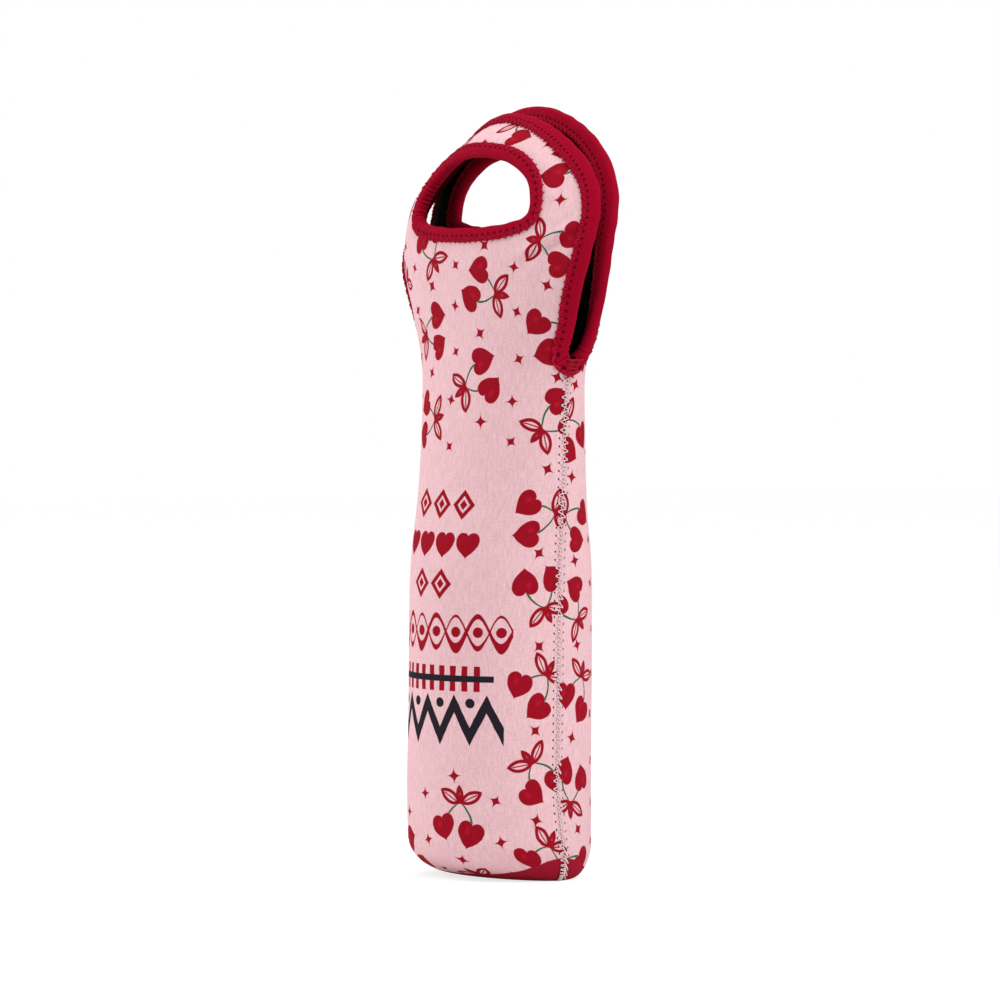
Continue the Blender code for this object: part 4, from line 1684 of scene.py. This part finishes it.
    def thread(self, face: Face) -> bpy.types.Object:
        """Makes the zigzag stitches, from the needle row to past the tape's end.

        Args:
            face: The face that they lie on.

        Returns:
            The object.
        """
        arm = self.line.arm
        start = np.tile(np.arange(self.count) + 0.5, 2) * self.step
        end = start + np.repeat((-0.5, 0.5), self.count) * self.step
        kept = self.clear(np.minimum(start, end), np.maximum(start, end))
        start, end = start[kept], end[kept]
        paths = []
        for share, over in self.STITCH:
            u = start + share * (end - start)
            depth = 0 * u + arm - self.needle_row + share * (self.needle_row + self.past_edge)
            on_tape = smooth(arm - depth, -0.0003, 0.0003)
            height = on_tape * (self.lift(u, np.minimum(depth, arm)) + self.sizes.tape) + over
            paths.append(self.spots(u, depth, height, face))
        name = f"{self.word}_thread_{face.name.lower()}"
        return stitches(name, np.stack(paths, axis=1), self.thread_radius)

    def holes(self, face: Face) -> bpy.types.Object:
        """Makes the needle holes in the tape and just past its end.

        Args:
            face: The face that they lie on.

        Returns:
            The object.
        """
        arm, centres, normals, radii = self.line.arm, [], [], []
        for first, depth, over, radius in (
            (0.5, arm - self.needle_row - 0.0001, 0.00008, self.hole_radii[0]),
            (1.0, arm + self.past_edge + 0.00015, 0.00002, self.hole_radii[1]),
        ):
            u = np.arange(first, self.count) * self.step
            u = u[self.clear(u, u)]
            zero = 0 * u
            height = zero + over
            if depth < arm:
                height += self.lift(u, depth + zero) + self.sizes.tape
            centres.append(self.spots(u, depth + zero, height, face))
            normals.append(self.form.place(self.line.flat(u, depth + zero))[1] * face.value)
            radii.append(zero + radius)
        name = f"{self.word}_needle_holes_{face.name.lower()}"
        return needle_marks(name, *(np.concatenate(column) for column in (centres, normals, radii)))

    def pieces(self) -> Iterator[Made]:
        """Makes the tape, then its threads and needle holes on each face.

        Returns:
            Each piece in turn.
        """
        tape, slot = self.shell(), "binding_tape"
        width = 2 * self.line.arm + math.pi * (self.wrap + self.sizes.tape / 2)
        yield tape, self.word.split("_")[1], slot, self.word + "_binding"
        for face in Face:
            yield self.thread(face), "tape_thread", slot, ""
            yield self.holes(face), "tape_shadow", slot, ""


@dataclass
class SeamWork(SubAssembly):
    """Stitching over the line where the two panels meet on one side."""

    NEAREST: ClassVar[float] = 0.0002

    word: str
    hand: int

    def panel(self, reach: float) -> Panel:
        """The panel on one side of the seam, the front if that is positive."""
        return self.form.panels[Side.FRONT if reach >= 0 else Side.BACK]

    def spot(self, along: float, reach: float, height: float) -> Array:
        """Point beside the seam.

        Args:
            along: Length along from the fold in the base.
            reach: Distance from the seam, towards the front if positive.
            height: Height over the cloth.

        Returns:
            The point.
        """
        panel = self.panel(reach)
        across = self.hand * (panel.half_length(along)[0] - max(abs(reach), self.NEAREST))
        point, up = self.form.place(np.array([[across, panel.side.value * max(along, 1e-6)]]))
        return point[0] + height * up[0]


@dataclass
class SideSeam(SeamWork):
    """Flat zigzag stitches that join the two panels up one side."""

    # Share of the way along one stitch, and its height over the cloth
    STITCH: ClassVar[tuple] = ((0.0, -0.0003), (0.1, 0.0002), (0.5, 0.0004), (0.9, 0.0002), (1.0, -0.0003))

    pitch: float = 0.0039
    reach: float = 0.0026
    thread_radius: float = 0.00025
    hole_radius: float = 0.00054
    middle_share: float = 0.26
    middle_lift: float = 0.00004
    middle_start: float = 0.014

    def end(self, panel: Panel) -> float:
        """Length along where the seam stops under the tape."""
        sizes = self.form.sizes
        return float(panel.along_at(sizes.notch - sizes.edge_arm + 0.001))

    def zigzag(self, at: Array, half: float, reach: float, lift: float) -> Array:
        """Paths of two stitches for each repeat.

        Args:
            at: Where the repeats start, as shares of the seam.
            half: Half of a repeat, as a share.
            reach: Half width of the zigzag.
            lift: Height over the stitches' own.

        Returns:
            The paths.
        """
        paths = []
        for start in at:
            for shift in (half, -half):
                path = []
                for share, height in self.STITCH:
                    side = reach * (1 - 2 * share)
                    along = (start + share * shift) * self.end(self.panel(side))
                    path.append(self.spot(along, side, height + lift))
                paths.append(path)
        return np.array(paths)

    def pieces(self) -> Iterator[Made]:
        """Makes the zigzag, the middle thread and the needle holes.

        Returns:
            Each piece in turn.
        """
        count = round(self.end(self.panel(1)) / self.pitch)
        at, half = np.arange(1, count) / count, 0.5 / count
        name, slot = self.word + "_seam_", "pink_thread"
        wide = self.zigzag(at, half, self.reach, 0)
        yield stitches(name + "zigzag", wide, self.thread_radius), slot, slot, name + "thread"
        narrow = self.zigzag(at + half, half, self.reach * self.middle_share, self.middle_lift)
        narrow = narrow[narrow[:, :, 2].min(axis=1) > self.middle_start]
        yield stitches(name + "middle_thread", narrow, 0.7 * self.thread_radius), slot, slot, ""
        places = []
        for shift, side in ((0, 1), (half, -1)):
            panel = self.panel(side)
            along = (at + shift) * self.end(panel)
            along = along[along < self.end(panel) - 0.001]
            across = self.hand * (panel.half_length(along) - self.reach - 0.00012)
            places.append(np.stack([across, side * along], axis=1))
        points, ups = self.form.place(np.concatenate(places))
        radii = np.full(len(points), self.hole_radius)
        holes = needle_marks(name + "needle_holes", points + 0.00003 * ups, ups, radii)
        yield holes, "needle_shadow", slot, ""


@dataclass
class BarTack(SeamWork):
    """Satin stitches that close the tape over the bottom of one notch."""

    rows: int = 17
    reach: float = 0.0024
    thread_radius: float = 0.00034
    height: float = 0.00105
    crown: float = 0.0014
    tilt: float = 0.0019

    def pieces(self) -> Iterator[Made]:
        """Makes the stitches.

        Returns:
            The one piece.
        """
        sizes, paths = self.form.sizes, []
        for i in range(self.rows):
            z = sizes.notch - sizes.edge_arm * (1.34 * i / (self.rows - 1) - 0.32)
            tilt = self.tilt * math.sin(2.4 * i)
            wide = self.reach * (0.80 + 0.20 * math.cos(3.1 * i))
            height = sizes.tape + self.height + 0.00035 * math.sin(1.7 * i)
            path = []
            for share in np.linspace(-1, 1, 9):
                along = float(self.panel(share).along_at(z + tilt * share))
                path.append(self.spot(along, share * wide, height - self.crown * abs(share) ** 4))
            paths.append(path)
        tack = stitches(self.word + "_bar_tack", np.array(paths), self.thread_radius)
        yield tack, "tape_thread", "binding_tape", ""


@dataclass(frozen=True)
class Lamp:
    """A soft square lamp: where it stands, its size and its power."""

    name: str
    azimuth: float
    elevation: float
    size: float
    power: float


@dataclass(frozen=True)
class Studio:
    """Floor, lights and the camera at the photograph's viewing angle."""

    target: tuple[float, float, float] = (0.0, 0.0, 0.18375)
    azimuth: float = 51.0
    elevation: float = 2.0
    roll: float = 0.6
    distance: float = 3.0
    scale: float = 2095.0
    centre: tuple[float, float] = (502.0, 491.4)
    frame: float = 1000.0
    lamp_distance: float = 1.6
    lamps: tuple[Lamp, ...] = (
        Lamp("key", 112, 38, 1.1, 11.2),
        Lamp("fill", -50, 12, 1.1, 10.5),
        Lamp("top", 40, 78, 1.0, 10.5),
    )

    @staticmethod
    def towards(azimuth: float, elevation: float) -> Vector:
        """Direction from the sleeve at an azimuth and elevation in degrees."""
        a, e = math.radians(azimuth), math.radians(elevation)
        return Vector((math.sin(a) * math.cos(e), -math.cos(a) * math.cos(e), math.sin(e)))

    def camera(self) -> None:
        """Adds the camera."""
        a, r = math.radians(self.azimuth), math.radians(self.roll)
        back = self.towards(self.azimuth, self.elevation)
        right = Vector((math.cos(a), math.sin(a), 0))
        up = back.cross(right)
        level = right * math.cos(r) + up * math.sin(r)
        upright = up * math.cos(r) - right * math.sin(r)
        data = bpy.data.cameras.new("camera")
        data.sensor_width = 36
        data.lens = self.scale * self.distance / self.frame * data.sensor_width
        data.shift_x = (self.frame / 2 - self.centre[0]) / self.frame
        data.shift_y = (self.centre[1] - self.frame / 2) / self.frame
        data.clip_start, data.clip_end = 0.05, 50
        camera = add_object("camera", data)
        turn = Matrix((level, upright, back)).transposed().to_4x4()
        camera.matrix_world = Matrix.Translation(Vector(self.target) + back * self.distance) @ turn
        bpy.context.scene.camera = camera

    def floor(self) -> None:
        """Adds the pale floor, which keeps a soft shadow."""
        bpy.ops.object.select_all(action="DESELECT")
        bpy.ops.mesh.primitive_plane_add(size=8, location=(0, 0, 0))
        floor = bpy.context.active_object
        floor.name = "floor"
        graph = Graph("floor")
        matte, faint = (
            graph.node("ShaderNodeBsdfDiffuse", Color=(grey, grey, grey)).outputs[0] for grey in (0.9, 0.42)
        )
        glow = graph.node("ShaderNodeEmission", Strength=0.74).outputs[0]
        shown = graph.node("ShaderNodeAddShader", i0=faint, i1=glow).outputs[0]
        graph.surface(graph.node("ShaderNodeMixShader", i0=graph.seen(), i1=matte, i2=shown))
        floor.data.materials.append(graph.owner)

    def world(self) -> None:
        """Adds white surroundings, softer as light than as background."""
        graph = Graph("studio", "worlds")
        bpy.context.scene.world = graph.owner
        soft, white = (
            graph.node("ShaderNodeBackground", Color=(1, 1, 1), Strength=strength).outputs[0]
            for strength in (0.60, 1.0)
        )
        graph.surface(graph.node("ShaderNodeMixShader", i0=graph.seen(), i1=soft, i2=white))

    def light(self, lamp: Lamp) -> None:
        """Adds a lamp aimed at the sleeve's middle.

        Args:
            lamp: The lamp.
        """
        back = self.towards(lamp.azimuth, lamp.elevation)
        data = bpy.data.lights.new(lamp.name, "AREA")
        data.shape, data.size, data.energy = "SQUARE", lamp.size, lamp.power
        obj = add_object(lamp.name, data)
        obj.location = Vector(self.target) + back * self.lamp_distance
        obj.rotation_mode = "QUATERNION"
        obj.rotation_quaternion = (-back).to_track_quat("-Z", "Y")

    def build(self) -> None:
        """Sets up the whole studio."""
        self.camera()
        self.floor()
        self.world()
        for lamp in self.lamps:
            self.light(lamp)
        bpy.context.scene.view_settings.view_transform = "Standard"


def main() -> None:
    """Dresses the sleeve and sets the studio."""
    logging.basicConfig(level=logging.INFO, format="%(name)s: %(message)s")
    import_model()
    sizes = SleeveSizes()
    cut = FlatCut(sizes, spacing=0.0022)
    lines = {}
    for side in Side:
        word = side.name.lower()
        edge, hole = (half(side, TAPE_SPACING) for half in (cut.flap_edge, cut.hole_edge))
        lines[word + "_edge"] = TapeLine(edge, side, sizes.edge_arm, closed=False)
        lines[word + "_handle"] = TapeLine(hole, side, sizes.handle_arm, closed=True)
    form = SleeveForm(cut, lines)
    finishes = {
        "printed_jersey": PrintedKnit().dress(),
        "foam": FoamCells().dress(),
        "lining": LiningKnit().dress(),
        "edge": RibbedTape("edge_binding_tape", sizes.edge_arm * 1000).dress(),
        "handle": RibbedTape("handle_binding_tape", sizes.handle_arm * 1000).dress(),
        # Each thread's second colour is painted shade in the twist of its plies
        "tape_thread": SpunThread("tape_thread", (0.500, 0.0030, 0.0300), (0.200, 0.0006, 0.0080)).dress(),
        "pink_thread": SpunThread("pink_thread", (0.930, 0.740, 0.765), (0.800, 0.560, 0.595)).dress(),
        "needle_shadow": NeedleShadow("needle_shadow", (0.010, 0.008, 0.009), (0.040, 0.030, 0.033)).dress(),
        "tape_shadow": NeedleShadow("tape_shadow", (0.062, 0.0008, 0.0040), (0.120, 0.0016, 0.0080)).dress(),
    }
    Laminate(form).build(finishes)
    for word in lines:
        EdgeTape(form, word).build(finishes)
    for word, hand in (("right", 1), ("left", -1)):
        SideSeam(form, word, hand).build(finishes)
        BarTack(form, word, hand).build(finishes)
    Studio().build()


if __name__ == "__main__":
    main()
